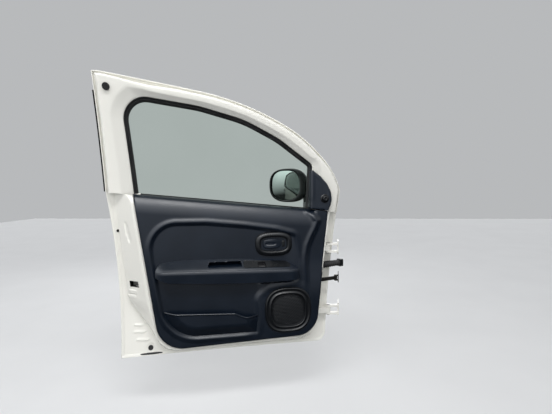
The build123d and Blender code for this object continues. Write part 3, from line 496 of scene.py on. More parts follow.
def zinc_steel():
    return surface("zinc_steel", ((0.42, 0.42, 0.41), (0.5, 0.49, 0.47)), (0.3, 0.42), 30.0, 600.0, 0.00005,
                   metallic=1.0)


def oiled_steel():
    """For the latch and the check strap; so dark that it also paints the shade inside the latch's slot."""
    return surface("oiled_steel", ((0.005, 0.005, 0.005), (0.012, 0.011, 0.010)), (0.35, 0.50), 40.0, 500.0,
                   0.00008, specular=0.25)


def tinted_glass():
    mat, tree, shader, coords = node_material("tinted_glass")
    shader.inputs["Transmission Weight"].default_value = 1.0
    shader.inputs["IOR"].default_value = 1.1
    mottle(tree, shader, coords, 3.0, ((0.79, 0.87, 0.82), (0.82, 0.90, 0.85)), (0.0, 0.03))
    return mat


def mirror_silver():
    """Darker than real silvering: painted shade, which dims what it reflects."""
    mat, tree, shader, coords = node_material("mirror_silver")
    shader.inputs["Metallic"].default_value = 1.0
    mottle(tree, shader, coords, 12.0, ((0.24, 0.275, 0.262), (0.27, 0.305, 0.292)), (0.02, 0.05))
    return mat


FINISH = {
    "body_paint": white_paint(), "trim_plastic": moulded_card(), "black_plastic": black_plastic(),
    "gloss_black": gloss_black(), "seal_rubber": seal_rubber(), "tinted_glass": tinted_glass(),
    "mirror_silver": mirror_silver(), "bright_steel": zinc_steel(), "dark_steel": oiled_steel(),
}


def finish_nodes():
    """The model's own nodes get their slot's finish, with creases at their hard edges."""
    for part in frame["record"]["subparts"]:
        mesh = frame["nodes"][part["node"]].data
        mesh.materials.clear()
        mesh.materials.append(FINISH[part["material_slot"]])
        mesh.shade_smooth()
        mesh.set_sharp_from_angle(angle=math.radians(30))


finish_nodes()


# Outlines of the shell

UNDER_BELT = 40.0  # how far the window's outline goes on below the belt line
PANEL_TOP = 760.0  # where the tub's outlines end, above the belt line


def door_outline():
    """Rear edge, header, front leg, nose, front edge and lower front corner."""
    header = arc3((952, 1155), (776, 1130), (556, 1094))
    bend = tangent_arc(header, (206, 972))
    pillar = tangent_arc(bend, (16, 822))
    nose = tangent_arc(pillar, (-60, 690))
    rear = arc3((908, 0), (921, 450), (945, 690), 40)
    front = np.linspace((-60, 690), (12, 40), 30)
    corner = tangent_arc(front, (49, 0))
    return np.concatenate([rear, header, bend[1:], pillar[1:], nose[1:], front[1:], corner[1:]])


OUTLINE = dense(door_outline(), closed=True)
WINDOW = dense(rounded([
    *((x, float(belt(x)) - UNDER_BELT, 0) for x in (99, 813)), (841, 1060, 70), (566, 1021, 500),
    (384, 973, 500), (241, 901, 400), (97, 798, 12)], 14), 3.0, closed=True)
MOUTH = dense(rounded([
    (wall_x(16), 16, 42), (735, 14, 50), (795, 128, 120), (872, 250, 60), (930, 852, 0),
    (wall_x(PANEL_TOP), PANEL_TOP, 0)], 14), closed=True)
TUB_FACE = dense(rounded([
    (wall_x(48), 48, 98), (753, 34, 104), (850, PANEL_TOP, 0), (wall_x(PANEL_TOP), PANEL_TOP, 0)], 30),
    closed=True)


# Outer skin

DISH_MOUTH = lens(806.0, 590.0, 46.0, 32.0, 28.0)
DISH_DEPTH, DISH_SIDE = 16.5, 12.0  # depth of the finger dish, and the width of its sloping side
SKIN_LIP = 1.5
COARSE, FINE = 6.0, 2.0  # spacing of the skin's columns and rows, which are fine round the dish


def outer_y(x, z):
    """The skin with its finger dish behind the outer handle."""
    return skin_y(x, z) + DISH_DEPTH * rise(inside(DISH_MOUTH, x, z), -1, DISH_SIDE)


def outer_sheet():
    """Painted skin below the belt line, with a short lip all round."""
    xs = [*np.arange(-63, 750, COARSE), *np.arange(750, 862, FINE), *np.arange(862, 950, COARSE)]
    drops = [0, 3, *np.arange(8, 56, COARSE), *np.arange(56, 132, FINE), *np.arange(134, 720, COARSE)]
    sheet = field(OUTLINE, xs, drops, outer_y, top=belt, skirt=lambda x, y, z: (x, y + SKIN_LIP, z))
    make("outer_sheet", sheet, ["outer_skin"], "body_paint", 35)


outer_sheet()


# Inner panel

LATCH_Z = (304.5, 329.5)
LATCH_SHARE = (0.165, 0.62)  # the striker slot's ends on the way from the tub's mouth to its face
LATCH_WALL = (-9.0, -10.0, 0.0)  # how the slot's walls go in
PANEL_COUNTS = (110, 24, 8, 36, 80, 60, 60, 64, 34, 100)  # columns between the anchors of panel_columns
HEM_WIDTH = 12.4
FACE_RIM = 34.0  # width of the part of the tub's face that the panel keeps
FACE_ROUNDING = (2.5, 0.05)  # depth, and share of the rear wall over which it fades
GUIDE_HOLE = ((-60, 120), (19, 41), (277, 307))  # x, y and z of the check guide's hole in the front wall
SILL_RISE = 3.3
SILL_EDGE = (22.0, 12.0)  # the trim's rolled sill: depth and height of its sharp upper part
SILL_SWELL = (25.0, 74.0)
SILL_FRONT_X = 97.0
SILL_CLEARANCE = 8.0
BEADS = (((822, 128), (852, 131)), ((813, 99), (853, 103)), ((803, 64), (843, 69)))
BEAD_HEIGHT, BEAD_WIDTH = 4.0, 3.6
PLUG = (789, 31)
SEAT_DEPTH, SEAT_RADIUS = 2.0, 19.0  # the plug's seat
DENT, DENT_HALF = (862, 533), (7, 42)  # long dent in the rear wall: middle, and half width and height
DENT_DEPTH, DENT_LEAN = 5.0, 0.2
BOSSES = ((852.0, 284.0, 7.0), (858.3, 263.0, 6.0))  # middle and half height of each
BOSS_HEIGHT, BOSS_HALF = 4.0, 15.0


def panel_relief(x, z):
    """Beads, dents and bosses pressed into the flange and the rear wall."""
    y = np.zeros(np.shape(x))
    for ends in BEADS:
        y = y + BEAD_HEIGHT * hill(inside(np.array(ends, float), x, z, closed=False) / BEAD_WIDTH)
    y = y - SEAT_DEPTH * fall(np.hypot(x - PLUG[0], z - PLUG[1]), SEAT_RADIUS, 3)
    up = z - DENT[1]
    dent = np.hypot((x - DENT[0] - up * DENT_LEAN) / DENT_HALF[0], up / DENT_HALF[1])
    y = y - DENT_DEPTH * fall(dent, 1.2, 0.35)
    for across, middle, half in BOSSES:
        boss = np.maximum(np.abs(x - across) / BOSS_HALF, np.abs(z - middle) / half)
        y = y + BOSS_HEIGHT * fall(boss, 1.15, 0.22)
    return y


def panel_columns():
    """The hem, the tub's mouth and its face with matching points, from the rear belt to the front."""
    low, high = LATCH_Z
    hem = [(915, 380), (914, high), (913, low), (912, 240), (908, 60), (800, 0), (450, 0), (140, 0), (8, 90)]
    mouth = [(885, 380), (880, high), (877, low), (872, 252), (795, 128), (735, 14), (450, 15), (140, 16),
             (77, 80)]
    face = [(800, 380), (793, high), (789, low), (782, 250), (757, 120), (690, 38), (450, 41), (180, 48),
            (70, 140)]
    out = []
    for shape, anchors in ((OUTLINE, hem), (MOUTH, mouth), (TUB_FACE, face)):
        line = belt_cut(shape)[::-1]
        out.append(by_anchors(line, [line[0], *anchors, line[-1]], PANEL_COUNTS))
    return out


def sill_roll(drop):
    """How far the trim's face lies back this far below its upper edge."""
    swell = np.clip(1 - drop / SILL_SWELL[1], 0, 1)
    return SILL_EDGE[0] * (1 - dome(drop / SILL_EDGE[1])) + SILL_SWELL[0] * swell**2


def under_sill(x, y, z):
    """y moved back where the panel would come through the trim's rolled sill."""
    roll = FACE_Y - SILL_CLEARANCE - sill_roll(belt(x) + SILL_RISE - z)
    return np.where(x > SILL_FRONT_X, np.minimum(y, roll), y)


def inner_panel():
    """Hem, flange, step, sloped walls and a rim of the tub's face, with its two holes."""
    hem, mouth, face = panel_columns()
    inwards = -left_normals(hem)
    rows = []

    def add(line, y):
        y = under_sill(line[:, 0], y, line[:, 1])
        rows.append(np.stack([line[:, 0], y, line[:, 1]], 1))

    edge = ((0.3, 1.6), (0.3, 4.0), (1.0, 4.8), (11.5, 4.8), (12.2, 4.3), (HEM_WIDTH, PANEL_DEPTH))
    for inset, depth in edge:
        line = hem + inwards * inset
        add(line, skin_y(*line.T, depth))
    start = hem + inwards * HEM_WIDTH
    for share in np.linspace(0.04, 0.97, 20):
        line = start + (mouth - start) * share
        add(line, skin_y(*line.T, PANEL_DEPTH) + panel_relief(*line.T))
    flange = skin_y(*mouth.T, PANEL_DEPTH)
    for share in (0.05, 0.2, 0.5, 0.8, 0.93, 1.0):
        add(mouth, flange + (STEP_Y - flange) * share)
    before_slot, at_slot = (0.03, 0.08, 0.13, 0.18), np.linspace(*LATCH_SHARE, 9)
    first_slope = len(rows)
    for share in (*before_slot, *at_slot, 0.68, 0.74, 0.8, 0.86, 0.91, 0.95, 0.98, 1.0):
        line = mouth + (face - mouth) * share
        round_off = FACE_ROUNDING[0] * hill((1 - share) / FACE_ROUNDING[1])
        y = STEP_Y + (PANEL_FACE_Y - STEP_Y) * share - round_off
        add(line, y + panel_relief(*line.T) * (share < 0.97))
    last_slope = len(rows)
    inner = face - left_normals(face) * FACE_RIM
    for share, drop in ((0.1, 0), (0.3, 5), (1.0, 14)):
        add(face + (inner - face) * share, PANEL_FACE_Y - drop)
    verts, faces = loft(rows, around=False)
    cols = len(hem)
    c0 = sum(PANEL_COUNTS[:2])
    c1 = c0 + PANEL_COUNTS[2]
    r0 = first_slope + len(before_slot)
    r1 = r0 + len(at_slot) - 1
    low, high = np.transpose(GUIDE_HOLE)
    kept = []
    for k, f in enumerate(faces):
        r, c = divmod(k, cols - 1)
        middle = verts[list(f)].mean(0)
        in_guide = r < last_slope and np.all((middle > low) & (middle < high))
        if not (in_guide or (r0 <= r < r1 and c0 <= c < c1)):
            kept.append(f)
    make("inner_shell", (verts, kept), ["inner_panel"], "body_paint", 35)
    # The striker slot's walls are a separate near-black sheet instead of the panel's paint: painted shade
    # inside the hole.
    loop = [(r0, c) for c in range(c0, c1)] + [(r, c1) for r in range(r0, r1)]
    loop += [(r1, c) for c in range(c1, c0, -1)] + [(r, c0) for r in range(r1, r0, -1)]
    lip = verts[[r * cols + c for r, c in loop]]
    make("latch_slot_shade", loft([lip, lip + np.array(LATCH_WALL)]), [], "dark_steel", 35)


inner_panel()


# Fittings on the panel

DRAIN_SHADE_DEPTH, SCREW_DEPTH = 4.84, 4.6


def fitting(name, shape, depth, slot):
    """A small piece made about y = 0, bent to follow the skin this deep behind it."""
    verts, faces = shape
    verts[:, 1] += skin_y(verts[:, 0], verts[:, 2], depth)
    make(name, (verts, faces), [], slot)


def wall_plug():
    """Rubber plug in its seat at the lower rear corner."""
    profile = ((10.5, -2), (10.5, 0.4), (9.4, 1.2), (7.2, 1.5), (6.4, 0.4), (3.0, 0), (0.01, 0))
    fitting("wall_plug", lathe(*PLUG, profile, 32), PANEL_DEPTH, "seal_rubber")


def drain_slot_shade():
    """Dark rubber cap over the drain at the bottom hem, which paints the shade of the drain slot."""
    path = squircle(786, 8.2, 46, 4.2, 2.4, 72)
    flap = rings(path, ((0, -1), (0, 0.7), (0.9, 1.5)), cap_last=True)
    fitting("drain_slot_shade", flap, DRAIN_SHADE_DEPTH, "seal_rubber")


def edge_screw():
    profile = ((6, 0), (6, 0.9), (4.4, 1.0), (4.1, 3.2), (3.4, 3.9), (1.9, 4.0), (1.7, 2.2), (0.01, 2.2))
    fitting("edge_screw", lathe(907, 537, profile, 24), SCREW_DEPTH, "dark_steel")


wall_plug()
drain_slot_shade()
edge_screw()


# Window frame

REVEAL = 16.0  # from the window's outline to the frame's steel, which the run seal fills
FRAME_STEP = 5.0
FRAME_TURN = 60.0  # over this length at each end, the frame's section turns level with the belt
FRAME_SMOOTHING = 6


def rays_to(outline, points, directions):
    """Distance from each point along its direction to a closed outline."""
    a, b = outline, np.roll(outline, -1, 0)
    out = []
    for p, d in zip(points, directions):
        e = b - a
        w = a - p
        det = d[0] * -e[:, 1] + e[:, 0] * d[1]
        det = np.where(np.abs(det) < 1e-12, 1e-12, det)
        t = (w[:, 0] * -e[:, 1] + e[:, 0] * w[:, 1]) / det
        s = (d[0] * w[:, 1] - d[1] * w[:, 0]) / det
        good = (t > 0) & (s >= 0) & (s <= 1)
        out.append(t[good].min())
    return np.array(out)


def frame_columns(amount):
    """Points on the window's outline, moved outwards, above the belt, with outward directions."""
    grown = WINDOW - left_normals(WINDOW, closed=True) * amount
    line = dense(belt_cut(grown, above=True), FRAME_STEP)
    out = -left_normals(line)
    along = np.array([math.cos(math.atan(BELT_SLOPE)), math.sin(math.atan(BELT_SLOPE))])
    at = np.arange(len(line))
    keep = smooth(np.minimum(at, at[::-1]) * FRAME_STEP / FRAME_TURN)[:, None]
    ends = np.where(at[:, None] < len(line) / 2, along, -along)
    out = out * keep + ends * (1 - keep)
    return line, out / np.linalg.norm(out, axis=1)[:, None]


def bar(line, out, profile):
    """Closed bar with shut ends along a line. Profile rows are (distance outwards, depth behind the skin)."""
    rows = []
    for distance, depth in profile:
        p = line + out * np.broadcast_to(distance, len(line))[:, None]
        rows.append(np.stack([p[:, 0], skin_y(*p.T, depth), p[:, 1]], 1))
    verts, faces = loft(rows, around=False, closed=True)
    cols = len(line)
    faces.append(tuple(r * cols for r in range(len(rows))))
    faces.append(tuple(r * cols + cols - 1 for r in range(len(rows)))[::-1])
    return verts, faces


def window_frame():
    """Reveal, slope to a soft crease, flat crown, step, and the hem round the outside."""
    line, out = frame_columns(REVEAL)
    width = rays_to(OUTLINE, line, out)
    window = 2 * FRAME_SMOOTHING + 1
    even = np.convolve(np.pad(width, FRAME_SMOOTHING, mode="edge"), np.ones(window) / window, "valid")
    crease = np.clip((even - 35) * 0.68, 16, 46)
    top = rise(line[:, 1] + out[:, 1] * width, 1040, 60)
    flange = np.minimum(16 + 5 * top * rise(line[:, 0], 640, 120), width * 0.42)
    slope = ((0.2, 36.4), (0.45, 40.4), (0.7, 45), (0.85, 47.8), (0.95, 49.4), (1.06, 50.1), (1.2, 50.3))
    crown = ((16, 50.3), (10, 49.8), (6, 48.2), (3, 45), (1, 40.5), (0.2, 35), (0, 26), (-0.3, 9), (-0.8, 5),
             (-2.2, 3.6))
    hem = ((7, 3.4), (5.6, 4.6), (5.2, 7), (5, 11.8), (4.2, 13), (2.5, 13), (1, 12.5), (0.2, 11.2), (0.05, 9),
           (0.05, 2), (0.4, 0.8), (1.5, 0.15), (6, 0.05))
    profile = [(0, 9), (0, 30), (0.3, 32.5), (1.5, 34)]
    profile += [(crease * share, depth) for share, depth in slope]
    profile += [(width - flange - distance, depth) for distance, depth in crown]
    profile += [(width - distance, depth) for distance, depth in hem]
    profile += [(6 + (width - 12) * share, 0.05) for share in (0.8, 0.6, 0.4, 0.2)]
    profile += [(6, 0.05), (1.2, 0.15), (0.2, 1.2)]
    shown = ["frame_header", "frame_rear_upright", "frame_front_leg"]
    make("window_frame", bar(line, out, profile), shown, "body_paint", 35)


def run_seal():
    """Glass run: an outer lip against the frame, a groove, and an inner lip on the glass."""
    profile = (
        (0.6, 24.2), (0, 25.5), (0.6, 27.6), (3, 30), (6.5, 31.6), (7.6, 30.8), (8.2, 28.8), (9.2, 28.8),
        (9.8, 31.5), (10.8, 33.2), (13, 34.4), (15, 34.4), (15.8, 33), (15.8, 8.6), (1.2, 8.6), (0, 10),
        (0.4, 17), (1.5, 19.2))
    make("glass_run", bar(*frame_columns(0.0), profile), ["glass_run_seal"], "seal_rubber", 50)


window_frame()
run_seal()


# Door card

CARD_SIDES = dense(rounded([
    (861, 900, 0), (743, 42, 112), (76, 60, 96), (-20, 900, 0)], 24), 4.0, closed=True)
RECESS = rounded([
    (168, 505, 20), (249, 528, 80), (385, 549, 300), (544, 567, 400), (777, 570, 104), (768, 430, 400),
    (745, 272, 200), (712, 86, 150), (394, 84, 200), (335, 82, 12), (326, 150, 60), (338, 240, 40),
    (290, 284, 30), (150, 300, 20), (146, 400, 60)], 16)
FRONT_RIDGE = dense(np.array([
    (112, 690), (110, 640), (107, 603), (84, 583), (66, 562), (77, 532), (98, 492), (114, 455), (122, 415),
    (124, 370), (122, 320), (120, 200)], float), 6.0)
PULL = rounded([(401, 383, 5), (545, 384, 7), (537, 403, 5), (406, 403, 6)], 6)
SPEAKER = (204.0, 180.0)
SPEAKER_RING = lens(*SPEAKER, 107, 101, 78, 16)
CARD_Y = FACE_Y - 3  # the card's flat part
RIDGE_HEIGHT = 6.0
FRONT_STEP, FRONT_BEAD = 10.0, 5.0
RING_RISE, RING_HOLLOW = 2.0, 8.0
PULL_HOLLOW = 38.0
CARD_ROUNDING = (6.0, 8.0)  # depth and width of the rounded edge
SEAL_DEPTH = 30.6  # the inner belt seal's, behind the skin


def card_top(x):
    return belt(x) + SILL_RISE


def recess_relief(x, z):
    """Recess in the middle of the card, and the ridge round it, which is softer by the speaker."""
    edge = inside(RECESS, x, z)
    soft = fall(x, 400, 60) * fall(z, 330, 40)
    width = 14 + 10 * fall(z, 220, 100) + 8 * soft
    fade = rise(x, 150, 70) * np.where(z > 300, 1.0, rise(x, 300, 40))
    hollow = (CARD_Y - FLOOR_Y) * rise(edge, -2, width) * fade
    ridge = RIDGE_HEIGHT * rise(edge, -24, 19) * (1 - rise(edge, -4, 15)) * rise(x, 130, 60)
    return ridge * (1 - 0.8 * soft) - hollow


def front_relief(x, z):
    """Step down to the front, with a bead along it, both fading towards the speaker."""
    behind = inside(FRONT_RIDGE, x, z, closed=False)
    bead = FRONT_BEAD * hill((behind - 5) / 10) * fall(z, 655, 40)
    return (bead - FRONT_STEP * fall(behind, 0, 22)) * rise(z, 230, 170)


def speaker_relief(x, z):
    """Rise towards the speaker, and the hollow under its grille."""
    ring = inside(SPEAKER_RING, x, z)
    return RING_RISE * rise(ring, -34, 34) * rise(x, 60, 40) - RING_HOLLOW * rise(ring, 20, 10)


def card_y(x, z):
    y = CARD_Y + recess_relief(x, z) + front_relief(x, z) + speaker_relief(x, z)
    y = y - PULL_HOLLOW * rise(inside(PULL, x, z), -6, 4)
    y = y - sill_roll(card_top(x) - z) * rise(x, 62, 46)
    return y - CARD_ROUNDING[0] * (1 - dome(inside(CARD_SIDES, x, z) / CARD_ROUNDING[1]))


def card_foot(x, y, z):
    """Where the card's rim ends: at the belt seal along the sill, else at the panel."""
    if z > card_top(x) - 0.2:
        return (x, float(skin_y(x, z, SEAL_DEPTH)), z)
    return (x, PANEL_FACE_Y + 0.5, z)


def door_card():
    """One sheet from the sill to the card's bottom edge, with close rows at the sill and low down."""
    sill = (0, 0.35, 0.9, 1.7, 2.8, 4.2, 6, 8.2, 10.8, 13.8)
    drops = [*sill, *np.arange(17, 440, 2.8), *np.arange(441, 662, 1.6)]
    sheet = field(CARD_SIDES, np.arange(9, 850, 2.8), drops, card_y, top=card_top, skirt=card_foot)
    make("door_card", sheet, ["door_trim"], "trim_plastic")


door_card()


# Armrest

ARM_X = (148, 758)
ARM_LOW = np.array([(148, 308), (330, 304), (500, 309), (700, 322), (758, 346)], float)
ARM_TOP = np.array([(148, 372), (205, 391), (278, 401), (441, 412), (650, 414), (760, 412)], float)
ARMREST = rounded([(148, 300, 26), (747, 300, 34), (758, 404, 40), (650, 415, 60), (441, 413, 400),
                   (278, 402, 200), (205, 392, 80), (160, 366, 40)], 8)
ARM_HEIGHT = 118.0  # of the rows above the line of the underside, more than the pad needs
CREST = (222, 363, 0.028)  # x and z of a point on the crest, and its slope
CREST_ROUNDING = (3.0, 6.0)  # depth and half width
PAD_TOP = (111.0, 48.0)  # y at the crest, and how far the top falls back
PAD_FACE = (112.0, 3.5, 44.0)  # y at the crest, and how far the face falls back over which height
UNDER_SLOPE = 5.2
END_LENGTHS = (50, 46)
CUP_DEPTH = 46.0
PLATE = rounded([(176, 372, 6), (395, 378, 5), (395, 404, 5), (215, 394, 14)], 6)
PLATE_SEAT, PLATE_RISE = 1.6, 2.6
PLATE_ROUNDING = (1.2, 2.5)  # depth and width
SWITCH = rounded([(300, 378, 3), (338, 379, 3), (335, 396, 3), (303, 395, 3)], 4)


def arm_low(x):
    return np.interp(x, ARM_LOW[:, 0], ARM_LOW[:, 1])


def arm_y(x, z):
    """Sloped top, soft crest, upright face and a steep underside, with seats for the cup and the plate."""
    crest = CREST[1] + (x - CREST[0]) * CREST[2]
    top = np.interp(x, ARM_TOP[:, 0], ARM_TOP[:, 1])
    slope = PAD_TOP[0] - PAD_TOP[1] * (z - crest) / (top - crest)
    face = PAD_FACE[0] - PAD_FACE[1] * (crest - z) / PAD_FACE[2]
    under = FLOOR_Y + (z - arm_low(x)) * UNDER_SLOPE
    y = np.minimum(np.minimum(slope, face), under) - CREST_ROUNDING[0] * hill((z - crest) / CREST_ROUNDING[1])
    ends = dome(np.minimum((x - ARM_X[0]) / END_LENGTHS[0], (ARM_X[1] - x) / END_LENGTHS[1]))
    y = np.maximum(FLOOR_Y + (y - FLOOR_Y) * ends, FLOOR_Y - 2)
    y = y - CUP_DEPTH * rise(inside(PULL, x, z), 0, 4)
    return y - PLATE_SEAT * rise(inside(PLATE, x, z), 0, 2)


def plate_y(x, z):
    edge = dome(inside(PLATE, x, z) / PLATE_ROUNDING[1])
    return arm_y(x, z) + PLATE_RISE - PLATE_ROUNDING[0] * (1 - edge)


def rocker_y(x, z):
    """The switch's rocker, high at its front and low at its rear."""
    height = 9.0 - 4.0 * rise(x, 306, 26)
    return arm_y(x, z) + 1.5 + height * dome(inside(SWITCH, x, z) / 5)


def arm_pad():
    sheet = field(ARMREST, np.arange(146, 762, 2.4), np.arange(0, 166, 1.8), arm_y,
                  top=lambda x: arm_low(x) + ARM_HEIGHT, skirt=lambda x, y, z: (x, FLOOR_Y - 2, z))
    make("arm_pad", sheet, ["armrest"], "trim_plastic", 45)


def switch_panel():
    sheet = field(PLATE, np.arange(172, 400, 3.0), np.arange(370, 407, 2.0), plate_y,
                  skirt=lambda x, y, z: (x, y - 2.5, z))
    make("switch_panel", sheet, ["switch_plate"], "black_plastic")


def window_rocker():
    sheet = field(SWITCH, np.arange(298, 341, 1.5), np.arange(376, 399, 1.5), rocker_y,
                  skirt=lambda x, y, z: (x, y - 3, z))
    make("window_rocker", sheet, ["window_switch"], "gloss_black", 60)


arm_pad()
switch_panel()
window_rocker()


# Map pocket

POCKET_LIP = np.array([(318, 166), (390, 170), (412, 178), (436, 190), (684, 203), (722, 206)], float)
POCKET = rounded([
    *((x, z, 0) for x, z in POCKET_LIP), (706, 78, 140), (394, 77, 60), (330, 77, 10)], 12)[::-1]
POCKET_SWELL, SWELL_WIDTH, SWELL_POWER = 34.0, 58.0, 0.75
POCKET_FRONT_SLOPE = 0.8
POCKET_RIM = (4.0, 3.0)  # height of the bead along the lip, and its distance below it and half width
POCKET_THICKNESS = 2.6


def pocket_lip(x):
    return np.interp(x, POCKET_LIP[:, 0], POCKET_LIP[:, 1])


def pocket_y(x, z):
    """The pocket's wall, swelling from the recess's edge, with a bead along its lip."""
    edge = np.minimum(inside(RECESS, x, z) - 2, POCKET_FRONT_SLOPE * (x - POCKET_LIP[0, 0]))
    swell = POCKET_SWELL * smooth(edge / SWELL_WIDTH) ** SWELL_POWER
    height, size = POCKET_RIM
    return FLOOR_Y + 0.5 + swell + height * hill((pocket_lip(x) - z - size) / size)


def pocket_wall():
    sheet = field(POCKET, np.arange(315, 724, 2.4), np.arange(0, 140, 1.5), pocket_y, top=pocket_lip,
                  back=POCKET_THICKNESS)
    make("pocket_wall", sheet, ["map_pocket"], "trim_plastic", 45)


pocket_wall()


# Release handle

HANDLE_Z = 468.0
PADDLE = squircle(270, HANDLE_Z, 40, 21, 3.2)
THUMB = squircle(276, HANDLE_Z, 24, 8, 2.4)
BEZEL_PROFILE = (
    (0, 60.5), (0.5, 64), (3, 68.5), (8, 72.4), (14, 74.6), (19, 74.4), (22, 72), (23.5, 68), (24.2, 60),
    (25, 48), (27, 40), (32, 37), (40, 36.4))
CUP_FLOOR_Y = 37.0


def release_rim():
    """Bezel with a rounded edge round a deep cup."""
    rim = rings(squircle(262, HANDLE_Z, 80, 53, 2.9), BEZEL_PROFILE, cap_last=True)
    make("release_rim", rim, ["handle_bezel"], "black_plastic", 50)


def paddle_y(x, z):
    """Lever plate, bowed along its length, with a rounded edge and a hollow for the finger."""
    bow = 5.0 * ((x - 272) / 38) ** 2
    edge = 4.0 * (1 - dome(inside(PADDLE, x, z) / 4))
    return 68.5 - bow - edge - 2.5 * rise(inside(THUMB, x, z), 0, 4)


def release_paddle():
    """The lever and the post that carries it."""
    sheet = field(PADDLE, np.arange(228, 313, 2.0), np.arange(445, 491, 2.0), paddle_y, back=3.0)
    post = rings(lens(240, HANDLE_Z, 6, 12, 3), ((0, CUP_FLOOR_Y), (0, 60)))
    make("release_paddle", join(sheet, post), ["release_lever"], "trim_plastic", 50)


def lock_tab():
    profile = ((0, CUP_FLOOR_Y), (0, 62), (1, 65), (3, 66.2), (4, 66.2))
    tab = rings(lens(220, HANDLE_Z, 7, 13, 4), profile, cap_last=True)
    make("lock_tab", tab, ["lock_slider"], "black_plastic", 60)


release_rim()
release_paddle()
lock_tab()


# Speaker

RIM_PROFILE = (
    (-3, 68), (-2, 74), (0, 77.5), (3, 79.3), (6, 79), (8, 77.2), (10, 75.6), (14, 75.2), (17, 76.4),
    (19.5, 79.2), (22, 80.2), (24.5, 79), (26, 75), (27, 71.5), (30, 70.8), (34, 70.7))
GRILLE_Y, GRILLE_CROWN = 70.9, 3.0
GRILLE_HALF = (70, 66)
GRILLE = squircle(*SPEAKER, *GRILLE_HALF, 2.6)
HOLE_PITCH, HOLE_RADIUS, HOLE_DEPTH = 7.0, 2.6, 1.2
ROW_PITCH = 0.866  # of the holes' staggered rows, as a share of their pitch


def grille_y(x, z):
    """Slightly crowned grille with staggered round holes."""
    u, v = x - SPEAKER[0], z - SPEAKER[1]
    crown = GRILLE_CROWN * (1 - (u / GRILLE_HALF[0]) ** 2) * (1 - (v / GRILLE_HALF[1]) ** 2)
    half = HOLE_PITCH / 2
    row = np.round(v / (HOLE_PITCH * ROW_PITCH))
    shift = np.where(row % 2 == 0, 0, half)
    to_hole = np.hypot((u - shift + half) % HOLE_PITCH - half, v - row * HOLE_PITCH * ROW_PITCH)
    hole = HOLE_DEPTH * fall(to_hole, HOLE_RADIUS, 1.0) * (inside(GRILLE, x, z) > 5)
    return GRILLE_Y + crown - hole


def speaker_cover():
    rim = rings(squircle(*SPEAKER, 99, 96, 2.7, 128), RIM_PROFILE)
    grid = field(GRILLE, np.arange(130, 277, 1.4), np.arange(110, 249, 1.4), grille_y)
    make("speaker_cover", join(rim, grid), ["speaker_grille"], "black_plastic", 50)


speaker_cover()


# Corner cover with the mirror's knob

SAIL = dense(rounded([
    (16, 604, 2), (98, 612.5, 2), (96, 779, 5), (84, 782, 10), (46, 752, 60), (20, 722, 60), (2, 687, 60),
    (-1, 643, 60)], 8), 3.0, closed=True)
SAIL_FOOT = (66.0, 600.0, 0.045)  # y and z at the cover's foot, and how it leans out above it
SAIL_ROUNDING = 7.0
SAIL_BEAD = (1.4, 12.0, 6.0)  # height, distance from the edge and half width
SAIL_BACK = 50.4  # depth of its rear edge behind the skin
KNOB_PROFILE = (
    (19, 62), (19, 64.6), (17.5, 66.2), (14.5, 66.6), (13.5, 65.4), (12.6, 66), (12.4, 72), (11.6, 77),
    (10, 79.2), (7.4, 80), (5, 79), (0.01, 78.2))


def sail_y(x, z):
    """Leaning plate with a rounded edge, which flattens towards the card, and a faint bead inside it."""
    edge = inside(SAIL, x, z)
    flat = SAIL_FOOT[0] - (z - SAIL_FOOT[1]) * SAIL_FOOT[2]
    low = SAIL_ROUNDING * (1 - dome(edge / SAIL_ROUNDING)) * np.where(edge < z - 606, 1, rise(z, 604, 10))
    height, inset, half = SAIL_BEAD
    return flat - low + height * hill((edge - inset) / half) * rise(z, 640, 40)


def corner_cover():
    sheet = field(SAIL, np.arange(-6, 102, 3.0), np.arange(601, 788, 3.0), sail_y,
                  skirt=lambda x, y, z: (x, float(skin_y(x, z, SAIL_BACK)), z))
    make("corner_cover", sheet, ["sail_cover"], "trim_plastic")


def adjust_knob():
    make("adjust_knob", lathe(34, 657, KNOB_PROFILE), ["mirror_knob"], "black_plastic")


corner_cover()
adjust_knob()


# Outside mirror

MIRROR_PIVOT = (76.0, -80.0)
MIRROR_TURN = math.radians(45.0)
MIRROR_HEAD = (-92.0, 715.5, 105.0, 80.5)  # across from the pivot, height, half width, half height
MIRROR_PANE = (-104.0, 715.5, 79.0, 69.5)
MIRROR_POWER, MIRROR_COUNT = 2.6, 112
PANE_BACK, PANE_GAP = 17.0, 1.2
NECK_RADIUS, NECK_COUNT = 16, 32
NECK_Z = (635.3, 700.0)


def mirror_spot(points):
    """Points as (out of the face, across, up) on the mirror's head to model metres."""
    p = np.asarray(points, float)
    c, s = math.cos(MIRROR_TURN), math.sin(MIRROR_TURN)
    x = MIRROR_PIVOT[0] + p[..., 0] * c - p[..., 1] * s
    y = MIRROR_PIVOT[1] + p[..., 0] * s + p[..., 1] * c
    return place(np.stack([x, y, p[..., 2]], -1))


def mirror_ring(shape, out):
    """Ring of this middle and half size, this far out of the mirror's face."""
    curve = squircle(*shape, MIRROR_POWER, MIRROR_COUNT)
    return np.stack([np.full(MIRROR_COUNT, float(out)), curve[:, 0], curve[:, 1]], 1)


